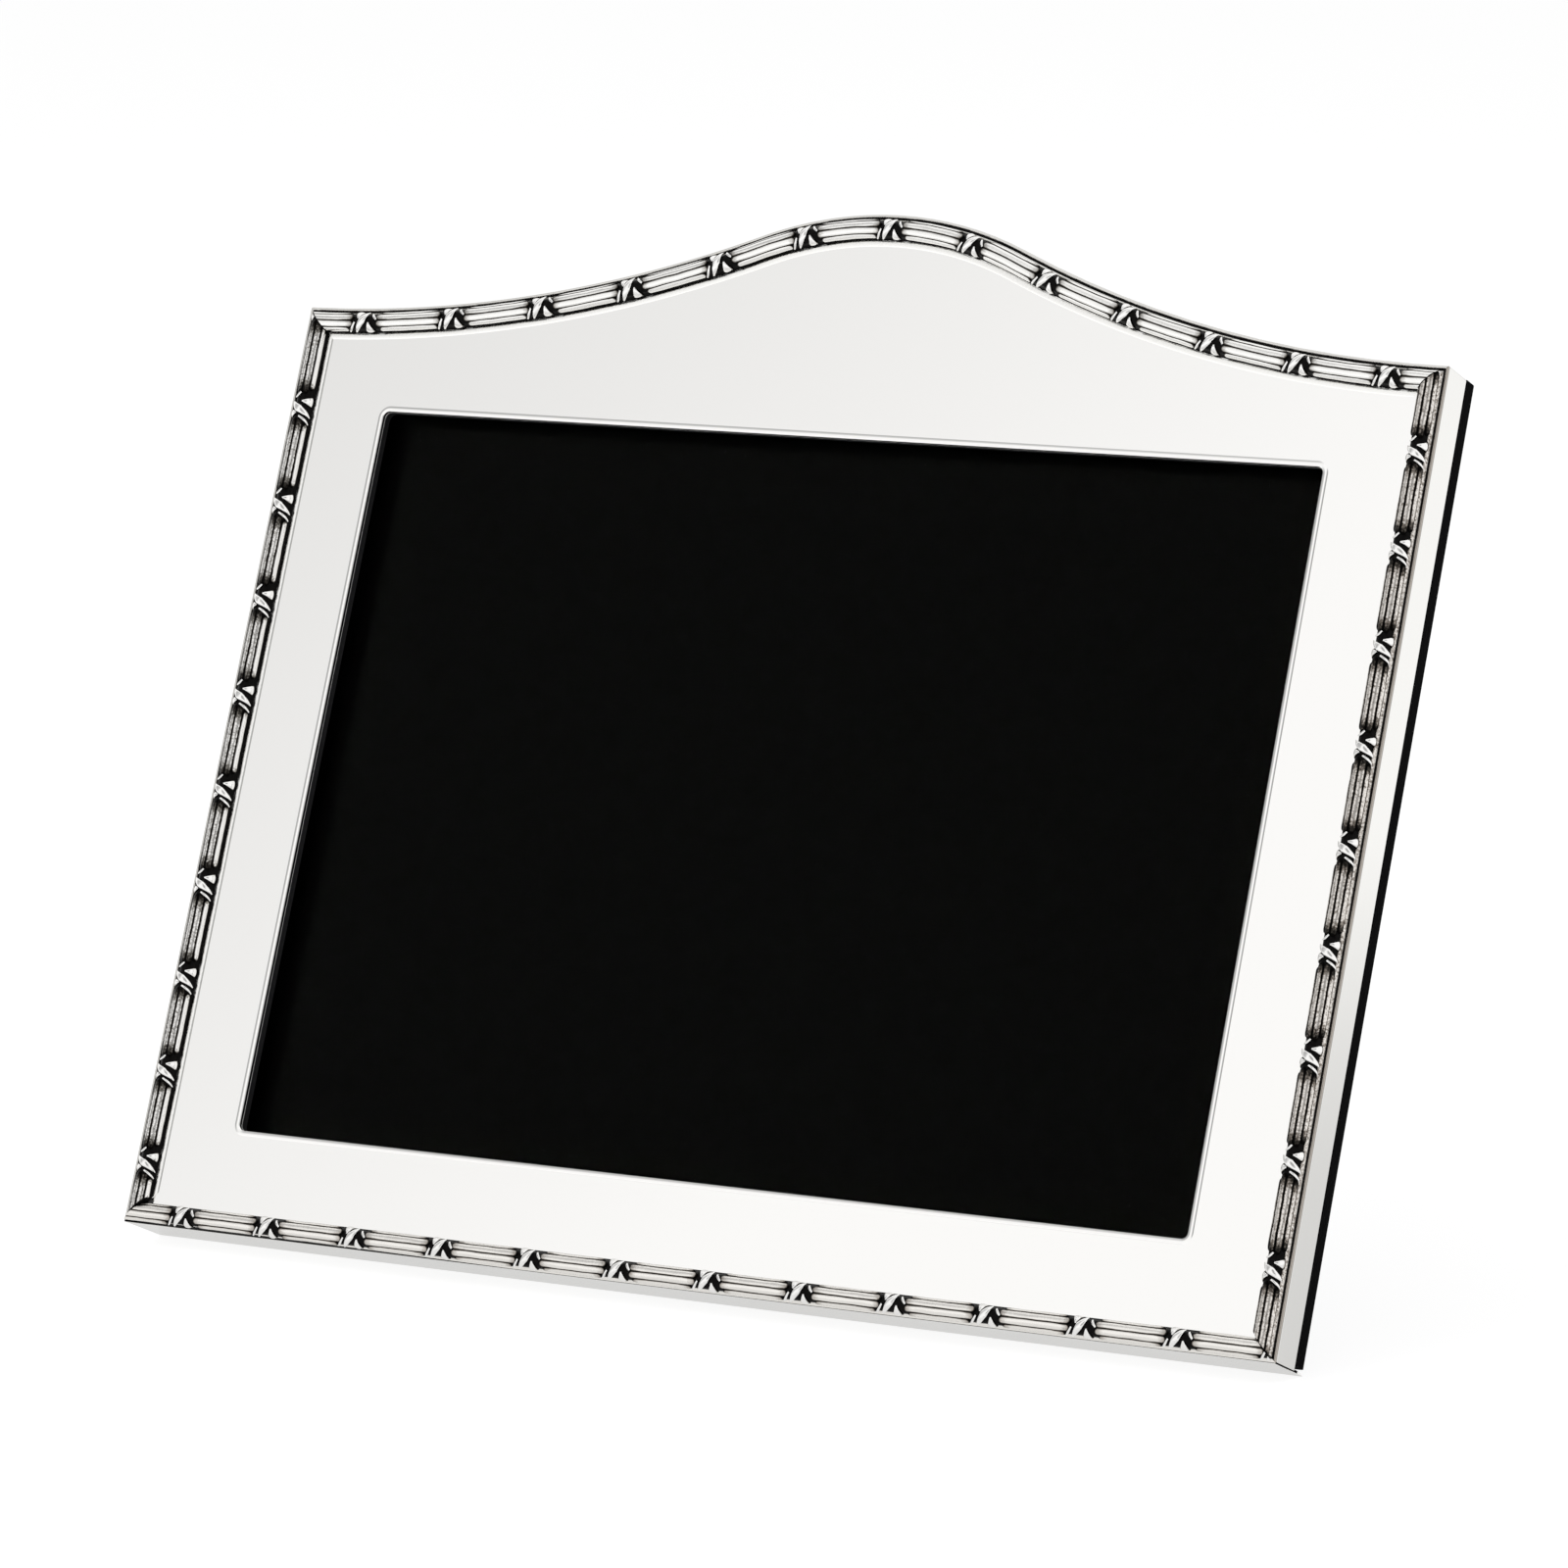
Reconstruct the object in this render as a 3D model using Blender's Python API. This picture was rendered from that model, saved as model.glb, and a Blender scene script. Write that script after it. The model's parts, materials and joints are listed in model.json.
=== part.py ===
"""Table photo frame with a domed top: polished silver front with a reeded border, velvet back, easel strut.

Everything is laid out on the upright frame, X to the right, Y to the back and Z up, with the front of
the silver sheet at Y = 0 and the underside at Z = 0. One empty then leans the whole frame back.
"""
import math

import bmesh
import bpy
from mathutils import Matrix, Vector

# Print and sight size
PRINT_WIDTH = 0.2032
PRINT_HEIGHT = 0.1524
SIGHT_LAP_SIDE = 0.0061
SIGHT_LAP_END = 0.0077
WINDOW_CORNER = 0.0012

# Outline of the silver front
BORDER_SIDE = 0.0203
BORDER_BOTTOM = 0.0192
BORDER_SHOULDER = 0.0193
DOME_RISE = 0.0229
CREST_RADIUS = 0.070
CREST_SHIFT = 0.003

# Silver sheet, the bead round its window and the bands round the sides
SHEET = 0.0008
BEAD_WIDTH = 0.0010
BEAD_HEIGHT = 0.0004
BAND_THICKNESS = 0.0008
BAND_DEPTH = 0.0078

# Reeded border moulding
MOULDING_WIDTH = 0.0048
MOULDING_INSET = 0.0001
FILLET_WIDTH = 0.0008
FILLET_HEIGHT = 0.0009
ARCH_BASE = 0.0008
ARCH_RISE = 0.00155
REED_COUNT = 5
REED_RELIEF = 0.00035

# Pack behind the window
LIP_THICKNESS = 0.0019
LIP_SETBACK = 0.0003
GLASS_THICKNESS = 0.002
PRINT_THICKNESS = 0.0004
CARD_THICKNESS = 0.0016
DOOR_THICKNESS = 0.0039
REBATE_CLEARANCE = 0.0006
DOOR_CLEARANCE = 0.0004
CARD_MARGIN = 0.0003
BACK_ROUNDING = 0.0010

# Turn buttons that hold the door
BUTTON_THICKNESS = 0.0008
BUTTON_PIVOT_RADIUS = 0.0036
BUTTON_TIP_RADIUS = 0.0026
BUTTON_REACH = 0.0085
BUTTON_SETBACK = 0.0043
BUTTON_END_DISTANCE = 0.038

# Screws
SCREW_HEAD_RADIUS = 0.0022
SCREW_HEAD_HEIGHT = 0.0011
SCREW_SHANK_RADIUS = 0.0010
SCREW_BITE = 0.0040
HINGE_SCREW_HEAD_RADIUS = 0.0018
HINGE_SCREW_HEAD_HEIGHT = 0.0009
HINGE_SCREW_SHANK_RADIUS = 0.0008
HINGE_SCREW_BITE = 0.0022

# Strut hinge
HINGE_DROP = 0.024
HINGE_WIDTH = 0.026
HINGE_LEAF_LENGTH = 0.014
LEAF_THICKNESS = 0.0008
KNUCKLE_RADIUS = 0.0018
KNUCKLE_LENGTH = 0.0094
PIN_RADIUS = 0.0007
DOOR_SCREW_MARGIN = 0.0035
STRUT_SCREW_MARGIN = 0.0013
LEAF_SCREW_DROP = 0.0090

# Strut
STRUT_THICKNESS = 0.0035
STRUT_TOP_WIDTH = 0.036
STRUT_FOOT_WIDTH = 0.060
STRUT_EDGE_ROUNDING = 0.0008

# How it stands
LEAN = math.radians(22.5)
OPEN_ANGLE = math.radians(40.0)

# Clearance between pieces that touch
GAP = 0.0003

# Roundness of the model
FLANK_STEPS = 12
CREST_STEPS = 16
REED_STEPS = 3
ROUND_STEPS = 16
CORNER_STEPS = 4
EDGE_STEPS = 2

# Shape of a screw, as shares of its head's radius, its head's height and its bite
HEAD_CROWN_REACH = 0.60
HEAD_CROWN_HEIGHT = 0.92
HEAD_RIM_HEIGHT = 0.45
SHANK_STRAIGHT = 0.80

# A rounding is a quarter circle, and takes up to this share of the edge it is on
QUARTER_CIRCLE = 0.5
ROUNDING_LIMIT = 0.9

# Points closer than this are one point, and a cut plane this close to a point goes through it
WELD = 0.00001
ON_PLANE = 0.0000001

# Sharper turns than this between faces stay sharp edges
SHARP = math.radians(35)
STRAIGHT = math.radians(0.05)

# How large the empties are drawn
EMPTY_SIZE = 0.02

# Sizes that follow
window_width = PRINT_WIDTH - 2 * SIGHT_LAP_SIDE
window_height = PRINT_HEIGHT - 2 * SIGHT_LAP_END
half_width = window_width / 2 + BORDER_SIDE
window_middle = BORDER_BOTTOM + window_height / 2
shoulder = BORDER_BOTTOM + window_height + BORDER_SHOULDER
crest = shoulder + DOME_RISE

band_seat = BAND_THICKNESS + GAP
lip_front = SHEET + GAP
lip_back = lip_front + LIP_THICKNESS
glass_front = lip_back + GAP
print_front = glass_front + GLASS_THICKNESS + GAP
card_front = print_front + PRINT_THICKNESS + GAP
door_front = card_front + CARD_THICKNESS + GAP
back = door_front + DOOR_THICKNESS
band_end = BAND_DEPTH + GAP

rebate_width = PRINT_WIDTH + 2 * REBATE_CLEARANCE
rebate_height = PRINT_HEIGHT + 2 * REBATE_CLEARANCE
door_width = rebate_width - 2 * DOOR_CLEARANCE
door_height = rebate_height - 2 * DOOR_CLEARANCE
door_top = window_middle + door_height / 2

hinge_height = door_top - HINGE_DROP
hinge_back = back + GAP + KNUCKLE_RADIUS
strut_front = KNUCKLE_RADIUS + GAP


def add_material(name, colour, roughness, metallic=0.0):
    """A plain finish for one group of pieces."""
    material = bpy.data.materials.new(name)
    material.use_nodes = True
    shader = material.node_tree.nodes["Principled BSDF"]
    shader.inputs["Base Color"].default_value = (*colour, 1.0)
    shader.inputs["Roughness"].default_value = roughness
    shader.inputs["Metallic"].default_value = metallic
    material.diffuse_color = (*colour, 1.0)
    return material


def clear_scene():
    for item in list(bpy.data.objects):
        bpy.data.objects.remove(item, do_unlink=True)


def new_collection(name):
    collection = bpy.data.collections.new(name)
    bpy.context.scene.collection.children.link(collection)
    return collection


clear_scene()
PARTS = new_collection("domed_photo_frame")
CUTTERS = new_collection("cutters")

POLISHED_SILVER = add_material("polished_silver", (0.88, 0.88, 0.86), 0.08, 1.0)
CAST_SILVER = add_material("cast_silver", (0.72, 0.71, 0.68), 0.28, 1.0)
BLACK_VELVET = add_material("black_velvet", (0.006, 0.006, 0.007), 1.0)
CLEAR_GLASS = add_material("clear_glass", (0.90, 0.94, 0.93), 0.03)
BLACK_PAPER = add_material("black_paper", (0.008, 0.008, 0.008), 0.6)
GREY_CARD = add_material("grey_card", (0.42, 0.38, 0.32), 0.9)
BRASS = add_material("brass", (0.78, 0.58, 0.28), 0.28, 1.0)
STEEL = add_material("steel", (0.55, 0.55, 0.56), 0.30, 1.0)


def new_empty(name, parent=None, location=(0, 0, 0), rotation=(0, 0, 0)):
    empty = bpy.data.objects.new(name, None)
    empty.empty_display_size = EMPTY_SIZE
    empty.parent = parent
    empty.location = location
    empty.rotation_euler = rotation
    PARTS.objects.link(empty)
    return empty


def place(name, mesh, material, parent, location=(0, 0, 0), rotation=(0, 0, 0)):
    """One named piece, set on its parent."""
    piece = bpy.data.objects.new(name, mesh)
    mesh.name = name
    mesh.materials.clear()
    mesh.materials.append(material)
    piece.parent = parent
    piece.location = location
    piece.rotation_euler = rotation
    PARTS.objects.link(piece)
    return piece


def make_cutter(name, mesh, target, spot=(0, 0, 0), operation="DIFFERENCE", solver="EXACT"):
    """A tool body that cuts or joins a piece; its spot is measured as the piece's own is."""
    cutter = bpy.data.objects.new(name, mesh)
    cutter.parent = target.parent
    cutter.location = spot
    cutter.hide_render = True
    cutter.display_type = "WIRE"
    CUTTERS.objects.link(cutter)
    boolean = target.modifiers.new(name, "BOOLEAN")
    boolean.operation = operation
    boolean.solver = solver
    boolean.object = cutter
    return cutter


def finish_bmesh(bm, name):
    """A mesh with its faces turned outwards."""
    bmesh.ops.recalc_face_normals(bm, faces=bm.faces)
    if bm.calc_volume(signed=True) < 0:
        bmesh.ops.reverse_faces(bm, faces=bm.faces)
    mesh = bpy.data.meshes.new(name)
    bm.to_mesh(mesh)
    bm.free()
    return mesh


def round_edges(bm, edges, radius, steps):
    bmesh.ops.bevel(bm, geom=edges, offset=radius, segments=steps, profile=QUARTER_CIRCLE, affect="EDGES")


def shade_round(mesh):
    mesh.shade_smooth()
    mesh.set_sharp_from_angle(angle=SHARP)
    return mesh


def plate(name, loops, thickness):
    """A flat piece: closed outlines in X and Z, filled, from Y = 0 back to its thickness."""
    curve = bpy.data.curves.new(name, "CURVE")
    curve.dimensions = "2D"
    curve.fill_mode = "BOTH"
    curve.extrude = thickness / 2
    for loop in loops:
        spline = curve.splines.new("POLY")
        spline.points.add(len(loop) - 1)
        spline.use_cyclic_u = True
        for point, (x, z) in zip(spline.points, loop):
            point.co = (x, z, 0, 1)
    outline = bpy.data.objects.new(name + "_outline", curve)
    CUTTERS.objects.link(outline)
    bpy.context.view_layer.update()
    evaluated = outline.evaluated_get(bpy.context.evaluated_depsgraph_get())
    mesh = bpy.data.meshes.new_from_object(evaluated)
    bpy.data.objects.remove(outline)
    bm = bmesh.new()
    bm.from_mesh(mesh)
    bmesh.ops.remove_doubles(bm, verts=bm.verts, dist=WELD)
    bmesh.ops.dissolve_limit(bm, angle_limit=STRAIGHT, verts=bm.verts, edges=bm.edges)
    upright = Matrix.Translation((0, thickness / 2, 0)) @ Matrix.Rotation(math.pi / 2, 4, "X")
    bm.transform(upright)
    return finish_bmesh(bm, name)


def block(name, size):
    """A box of a given size, centred in X and Z, and running back from Y = 0."""
    bm = bmesh.new()
    bmesh.ops.create_cube(bm, size=1.0)
    bmesh.ops.scale(bm, vec=size, verts=bm.verts)
    bmesh.ops.translate(bm, vec=(0, size[1] / 2, 0), verts=bm.verts)
    return finish_bmesh(bm, name)


def rod(name, radius, length, axis="Y"):
    """A cylinder along Y from 0 back, or along X about its middle."""
    bm = bmesh.new()
    bmesh.ops.create_cone(
        bm, cap_ends=True, segments=ROUND_STEPS, radius1=radius, radius2=radius, depth=length
    )
    if axis == "Y":
        turn = Matrix.Translation((0, length / 2, 0)) @ Matrix.Rotation(-math.pi / 2, 4, "X")
    else:
        turn = Matrix.Rotation(math.pi / 2, 4, "Y")
    bm.transform(turn @ Matrix.Rotation(math.pi / ROUND_STEPS, 4, "Z"))
    return shade_round(finish_bmesh(bm, name))


def rectangle(width, height, middle=0.0, corner=0.0):
    """A rectangle's outline, with its corners rounded when a radius is given."""
    points = []
    for sx, sz, start in ((-1, -1, 180), (1, -1, 270), (1, 1, 0), (-1, 1, 90)):
        centre_x = sx * (width / 2 - corner)
        centre_z = middle + sz * (height / 2 - corner)
        for step in range(CORNER_STEPS + 1 if corner else 1):
            angle = math.radians(start + 90 * step / CORNER_STEPS)
            points.append((centre_x + corner * math.cos(angle), centre_z + corner * math.sin(angle)))
    return points


def sight_outline(margin=0.0):
    """The window's outline, grown by a margin all round."""
    width = window_width + 2 * margin
    height = window_height + 2 * margin
    return rectangle(width, height, window_middle, WINDOW_CORNER + margin)


def flank(side):
    """Radius and turn of the hollow curve between the crest and one shoulder, -1 left and 1 right."""
    run = half_width - side * CREST_SHIFT
    both = (run * run + DOME_RISE * DOME_RISE) / (2 * DOME_RISE)
    return both - CREST_RADIUS, math.asin(run / both)


def outline(inset, bottom=None):
    """The frame's outline moved inwards: straight foot and sides, and a top of three tangent arcs."""
    low = inset if bottom is None else bottom
    left_radius, left_turn = flank(-1)
    right_radius, right_turn = flank(1)
    points = [(-half_width + inset, low), (half_width - inset, low)]
    radius = right_radius + inset
    start = math.asin(inset / radius)
    for step in range(FLANK_STEPS):
        angle = start + (right_turn - start) * step / FLANK_STEPS
        x = half_width - radius * math.sin(angle)
        points.append((x, shoulder + right_radius - radius * math.cos(angle)))
    for step in range(CREST_STEPS + 1):
        angle = right_turn - (left_turn + right_turn) * step / CREST_STEPS
        x = CREST_SHIFT + (CREST_RADIUS - inset) * math.sin(angle)
        points.append((x, crest - CREST_RADIUS + (CREST_RADIUS - inset) * math.cos(angle)))
    radius = left_radius + inset
    start = math.asin(inset / radius)
    for step in range(1, FLANK_STEPS + 1):
        angle = left_turn + (start - left_turn) * step / FLANK_STEPS
        x = radius * math.sin(angle) - half_width
        points.append((x, shoulder + left_radius - radius * math.cos(angle)))
    return points


def reeded_section():
    """The moulding's section: distance in from the outline, and height above the sheet."""
    arch_start = MOULDING_INSET + FILLET_WIDTH
    arch_end = MOULDING_INSET + MOULDING_WIDTH
    half_chord = (arch_end - arch_start) / 2
    radius = (half_chord * half_chord + ARCH_RISE * ARCH_RISE) / (2 * ARCH_RISE)
    half_turn = math.asin(half_chord / radius)
    middle = (arch_start + arch_end) / 2
    centre = ARCH_BASE + ARCH_RISE - radius
    points = [(MOULDING_INSET, GAP), (MOULDING_INSET, FILLET_HEIGHT), (arch_start, FILLET_HEIGHT)]
    steps = REED_COUNT * REED_STEPS
    for step in range(steps + 1):
        angle = half_turn * (2 * step / steps - 1)
        swell = REED_RELIEF * math.sin(math.pi * (step % REED_STEPS) / REED_STEPS)
        reach = radius + swell
        points.append((middle + reach * math.sin(angle), centre + reach * math.cos(angle)))
    points.append((arch_end, GAP))
    return points


def band_section(depth):
    """A flat band's section: distance in from the outline, and height above the sheet's front."""
    return [(0, -depth), (0, 0), (BAND_THICKNESS, 0), (BAND_THICKNESS, -depth)]


def section_face(bm, section, corner, inward):
    """The section as a face, square to the length that starts at a corner of the outline."""
    verts = []
    for distance, height in section:
        spot = Vector((corner[0], 0, corner[1])) + Vector((inward[0], 0, inward[1])) * distance
        verts.append(bm.verts.new(spot - Vector((0, height, 0))))
    return bm.faces.new(verts)


def saw(bm, point, normal):
    """Cuts away what lies beyond a plane, on its normal's side, and closes the cut."""
    cut = bmesh.ops.bisect_plane(
        bm,
        geom=bm.verts[:] + bm.edges[:] + bm.faces[:],
        dist=ON_PLANE,
        plane_co=point,
        plane_no=normal,
        clear_outer=True,
    )
    rim = [item for item in cut["geom_cut"] if isinstance(item, bmesh.types.BMEdge)]
    bmesh.ops.holes_fill(bm, edges=rim)


def saw_mitre(bm, corner, keep):
    """Cuts a length at 45 degrees through a corner, half a clearance back from the corner's plane."""
    normal = Vector((-keep[0], 0, -keep[1])).normalized()
    saw(bm, Vector((corner[0], 0, corner[1])) - normal * GAP / 2, normal)


def straight_length(name, section, start, end, inward):
    """A length along a straight side, mitred at both ends."""
    bm = bmesh.new()
    face = section_face(bm, section, start, inward)
    run = Vector((end[0] - start[0], 0, end[1] - start[1]))
    grown = bmesh.ops.extrude_face_region(bm, geom=[face])
    moved = [item for item in grown["geom"] if isinstance(item, bmesh.types.BMVert)]
    bmesh.ops.translate(bm, vec=run, verts=moved)
    along = run.normalized()
    saw_mitre(bm, start, (along.x - inward[0], along.z - inward[1]))
    saw_mitre(bm, end, (-along.x - inward[0], -along.z - inward[1]))
    return shade_round(finish_bmesh(bm, name))


def domed_length(name, section):
    """A length along the domed top, turned through its three arcs and mitred at both ends."""
    left_radius, left_turn = flank(-1)
    right_radius, right_turn = flank(1)
    left_corner = (-half_width, shoulder)
    right_corner = (half_width, shoulder)
    bm = bmesh.new()
    face = section_face(bm, section, left_corner, (0, -1))
    arcs = (
        ((-half_width, shoulder + left_radius), -left_turn, FLANK_STEPS),
        ((CREST_SHIFT, crest - CREST_RADIUS), left_turn + right_turn, CREST_STEPS),
        ((half_width, shoulder + right_radius), -right_turn, FLANK_STEPS),
    )
    tip = [face] + list(face.edges) + list(face.verts)
    for centre, angle, steps in arcs:
        turned = bmesh.ops.spin(
            bm, geom=tip, cent=(centre[0], 0, centre[1]), axis=(0, 1, 0), angle=angle, steps=steps
        )
        tip = turned["geom_last"]
    saw_mitre(bm, left_corner, (1, 1))
    saw_mitre(bm, right_corner, (-1, 1))
    return shade_round(finish_bmesh(bm, name))


def turned_screw(name, head_radius, head_height, shank_radius, bite):
    """A round-headed screw along Y: its seat is at Y = 0, the head behind it and the shank in front."""
    profile = (
        (0, head_height),
        (head_radius * HEAD_CROWN_REACH, head_height * HEAD_CROWN_HEIGHT),
        (head_radius, head_height * HEAD_RIM_HEIGHT),
        (head_radius, 0),
        (shank_radius, 0),
        (shank_radius, -bite * SHANK_STRAIGHT),
        (0, -bite),
    )
    bm = bmesh.new()
    verts = [bm.verts.new((radius, 0, height)) for radius, height in profile]
    for first, second in zip(verts, verts[1:]):
        bm.edges.new((first, second))
    bmesh.ops.spin(
        bm,
        geom=bm.verts[:] + bm.edges[:],
        cent=(0, 0, 0),
        axis=(0, 0, 1),
        angle=2 * math.pi,
        steps=ROUND_STEPS,
    )
    bmesh.ops.remove_doubles(bm, verts=bm.verts, dist=WELD)
    bm.transform(Matrix.Rotation(-math.pi / 2, 4, "X"))
    return shade_round(finish_bmesh(bm, name))


def slanted_ends():
    """The strut's two slanted ends, each a normal (along, back) and its distance from the hinge pin.

    The top lands flat on the door when the strut is open, and the foot lies flat on the ground.
    """
    stop = (Vector((-math.sin(OPEN_ANGLE), math.cos(OPEN_ANGLE))), -KNUCKLE_RADIUS)
    splay = OPEN_ANGLE - LEAN
    pin_height = hinge_height * math.cos(LEAN) - (hinge_back - back) * math.sin(LEAN)
    ground = (Vector((math.cos(splay), math.sin(splay))), -pin_height)
    return stop, ground


def along_strut(end, depth):
    """How far along the strut from the pin a slanted end crosses a given depth."""
    normal, distance = end
    return (distance - normal.y * depth) / normal.x


def ground_offset():
    """Where the upright frame's origin goes, so that the leaning frame stands centred on the ground."""
    front = min(inset * math.sin(LEAN) - height * math.cos(LEAN) for inset, height in reeded_section())
    ground = slanted_ends()[1]
    strut_back = strut_front + STRUT_THICKNESS
    splay = OPEN_ANGLE - LEAN
    pin_reach = hinge_height * math.sin(LEAN) + hinge_back * math.cos(LEAN)
    foot_reach = strut_back * math.cos(splay) - along_strut(ground, strut_back) * math.sin(splay)
    return Vector((0, -(front + pin_reach + foot_reach) / 2, back * math.sin(LEAN)))


def build_front(lean):
    """Silver sheet with its window and the raised bead round it."""
    sheet = plate("front_panel", [outline(band_seat)], SHEET)
    panel = place("front_panel", sheet, POLISHED_SILVER, lean)
    bead = plate("window_bead", [sight_outline(BEAD_WIDTH)], BEAD_HEIGHT + SHEET / 2)
    bm = bmesh.new()
    bm.from_mesh(bead)
    front = [edge for edge in bm.edges if all(abs(vert.co.y) < WELD for vert in edge.verts)]
    rounding = min(BEAD_HEIGHT, BEAD_WIDTH) * ROUNDING_LIMIT
    round_edges(bm, front, rounding, EDGE_STEPS)
    bead = finish_bmesh(bm, "window_bead")
    make_cutter("window_bead", bead, panel, (0, -BEAD_HEIGHT, 0), "UNION")
    window = plate("window_cut", [sight_outline()], 2 * (BEAD_HEIGHT + SHEET))
    make_cutter("window_cut", window, panel, (0, -BEAD_HEIGHT - SHEET / 2, 0))


def build_border(lean):
    """Reeded moulding on the front and plain bands round the sides, each in four mitred lengths."""
    low_left = (-half_width, 0)
    low_right = (half_width, 0)
    high_left = (-half_width, shoulder)
    high_right = (half_width, shoulder)
    sides = (
        ("bottom", low_left, low_right, (0, 1), back),
        ("left", low_left, high_left, (1, 0), BAND_DEPTH),
        ("right", low_right, high_right, (-1, 0), BAND_DEPTH),
    )
    reeds = reeded_section()
    for side, start, end, inward, depth in sides:
        name = "moulding_" + side
        place(name, straight_length(name, reeds, start, end, inward), CAST_SILVER, lean)
        name = "side_band_" + side
        strip = straight_length(name, band_section(depth), start, end, inward)
        place(name, strip, POLISHED_SILVER, lean)
    place("moulding_top", domed_length("moulding_top", reeds), CAST_SILVER, lean)
    strip = domed_length("side_band_top", band_section(BAND_DEPTH))
    place("side_band_top", strip, POLISHED_SILVER, lean)


def cut_board(board, mesh, spot):
    """A cut in the velvet board; the exact solver can lose a facet of its domed wall, this one doesn't."""
    make_cutter(mesh.name, mesh, board, spot, solver="MANIFOLD")


def build_board(lean):
    """Velvet-covered board with a seat for the bands, a lip for the glass and a rebate for the pack."""
    depth = back - lip_front
    mesh = plate("back_board", [outline(0, band_seat)], depth)
    bm = bmesh.new()
    bm.from_mesh(mesh)
    rear = []
    for edge in bm.edges:
        on_back = all(abs(vert.co.y - depth) < WELD for vert in edge.verts)
        above_foot = max(vert.co.z for vert in edge.verts) > band_seat + WELD
        if on_back and above_foot and edge.calc_face_angle(0) > SHARP:
            rear.append(edge)
    rounding = min(BACK_ROUNDING, (back - band_end) * ROUNDING_LIMIT)
    round_edges(bm, rear, rounding, CORNER_STEPS)
    mesh = shade_round(finish_bmesh(bm, "back_board"))
    board = place("back_board", mesh, BLACK_VELVET, lean, (0, lip_front, 0))
    seat = plate("band_seat", [outline(-SHEET), outline(band_seat, 0)], BAND_DEPTH)
    cut_board(board, seat, (0, band_end - BAND_DEPTH, 0))
    opening = plate("lip_cut", [sight_outline(LIP_SETBACK)], depth)
    cut_board(board, opening, (0, lip_front - depth / 2, 0))
    rebate = plate("rebate_cut", [rectangle(rebate_width, rebate_height, window_middle)], depth)
    cut_board(board, rebate, (0, lip_back, 0))
    return board


def build_pack(lean):
    """Glass, print, backing card and door, each behind the last."""
    card_width = PRINT_WIDTH - CARD_MARGIN
    card_height = PRINT_HEIGHT - CARD_MARGIN
    layers = (
        ("glass_pane", PRINT_WIDTH, PRINT_HEIGHT, glass_front, GLASS_THICKNESS, CLEAR_GLASS),
        ("print_insert", card_width, card_height, print_front, PRINT_THICKNESS, BLACK_PAPER),
        ("backing_card", card_width, card_height, card_front, CARD_THICKNESS, GREY_CARD),
        ("back_door", door_width, door_height, door_front, DOOR_THICKNESS, BLACK_VELVET),
    )
    pieces = {}
    for name, width, height, front, thickness, material in layers:
        mesh = plate(name, [rectangle(width, height)], thickness)
        pieces[name] = place(name, mesh, material, lean, (0, front, window_middle))
    return pieces["back_door"]


def circle(radius):
    turns = [2 * math.pi * step / ROUND_STEPS for step in range(ROUND_STEPS)]
    return [(radius * math.cos(turn), radius * math.sin(turn)) for turn in turns]


def button_outline():
    """A turn button that points to -X: a round end at the pivot and a smaller round tip."""
    run = BUTTON_REACH - BUTTON_TIP_RADIUS
    slant = math.asin((BUTTON_PIVOT_RADIUS - BUTTON_TIP_RADIUS) / run)
    quarter = math.pi / 2
    steps = ROUND_STEPS // 2
    points = []
    for step in range(steps + 1):
        angle = (quarter + slant) * (2 * step / steps - 1)
        points.append((BUTTON_PIVOT_RADIUS * math.cos(angle), BUTTON_PIVOT_RADIUS * math.sin(angle)))
    for step in range(steps + 1):
        angle = math.pi + (quarter - slant) * (2 * step / steps - 1)
        points.append((-run + BUTTON_TIP_RADIUS * math.cos(angle), BUTTON_TIP_RADIUS * math.sin(angle)))
    return points


def build_buttons(lean, board):
    """Four turn buttons beside the door, each on its own screw."""
    pivot_x = rebate_width / 2 + BUTTON_SETBACK
    rise = door_height / 2 - BUTTON_END_DISTANCE
    bore = SCREW_SHANK_RADIUS + GAP
    head_seat = back + GAP + BUTTON_THICKNESS + GAP
    shank = head_seat - back + SCREW_BITE
    for level, upward in (("upper", 1), ("lower", -1)):
        for hand, side in (("left", -1), ("right", 1)):
            spot = "_" + level + "_" + hand
            x = side * pivot_x
            z = window_middle + upward * rise
            mesh = plate("turn_button" + spot, [button_outline(), circle(bore)], BUTTON_THICKNESS)
            turn = (0, 0 if side > 0 else math.pi, 0)
            place("turn_button" + spot, shade_round(mesh), BRASS, lean, (x, back + GAP, z), turn)
            name = "turn_screw" + spot
            screw = turned_screw(name, SCREW_HEAD_RADIUS, SCREW_HEAD_HEIGHT, SCREW_SHANK_RADIUS, shank)
            place(name, screw, STEEL, lean, (x, head_seat, z))
            hole = rod(name + "_hole", bore, 2 * SCREW_BITE)
            cut_board(board, hole, (x, back - SCREW_BITE - GAP, z))


def leaf_profile(side):
    """Section of a hinge leaf across its pin: a knuckle, and the leaf hanging from one side of it."""
    inner_face = KNUCKLE_RADIUS - LEAF_THICKNESS
    curl = 2 * math.pi - math.acos(inner_face / KNUCKLE_RADIUS)
    points = [(KNUCKLE_RADIUS, -HINGE_LEAF_LENGTH)]
    for step in range(ROUND_STEPS + 1):
        angle = curl * step / ROUND_STEPS
        points.append((KNUCKLE_RADIUS * math.cos(angle), KNUCKLE_RADIUS * math.sin(angle)))
    points.append((inner_face, -HINGE_LEAF_LENGTH))
    return [(side * y, z) for y, z in points]


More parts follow.
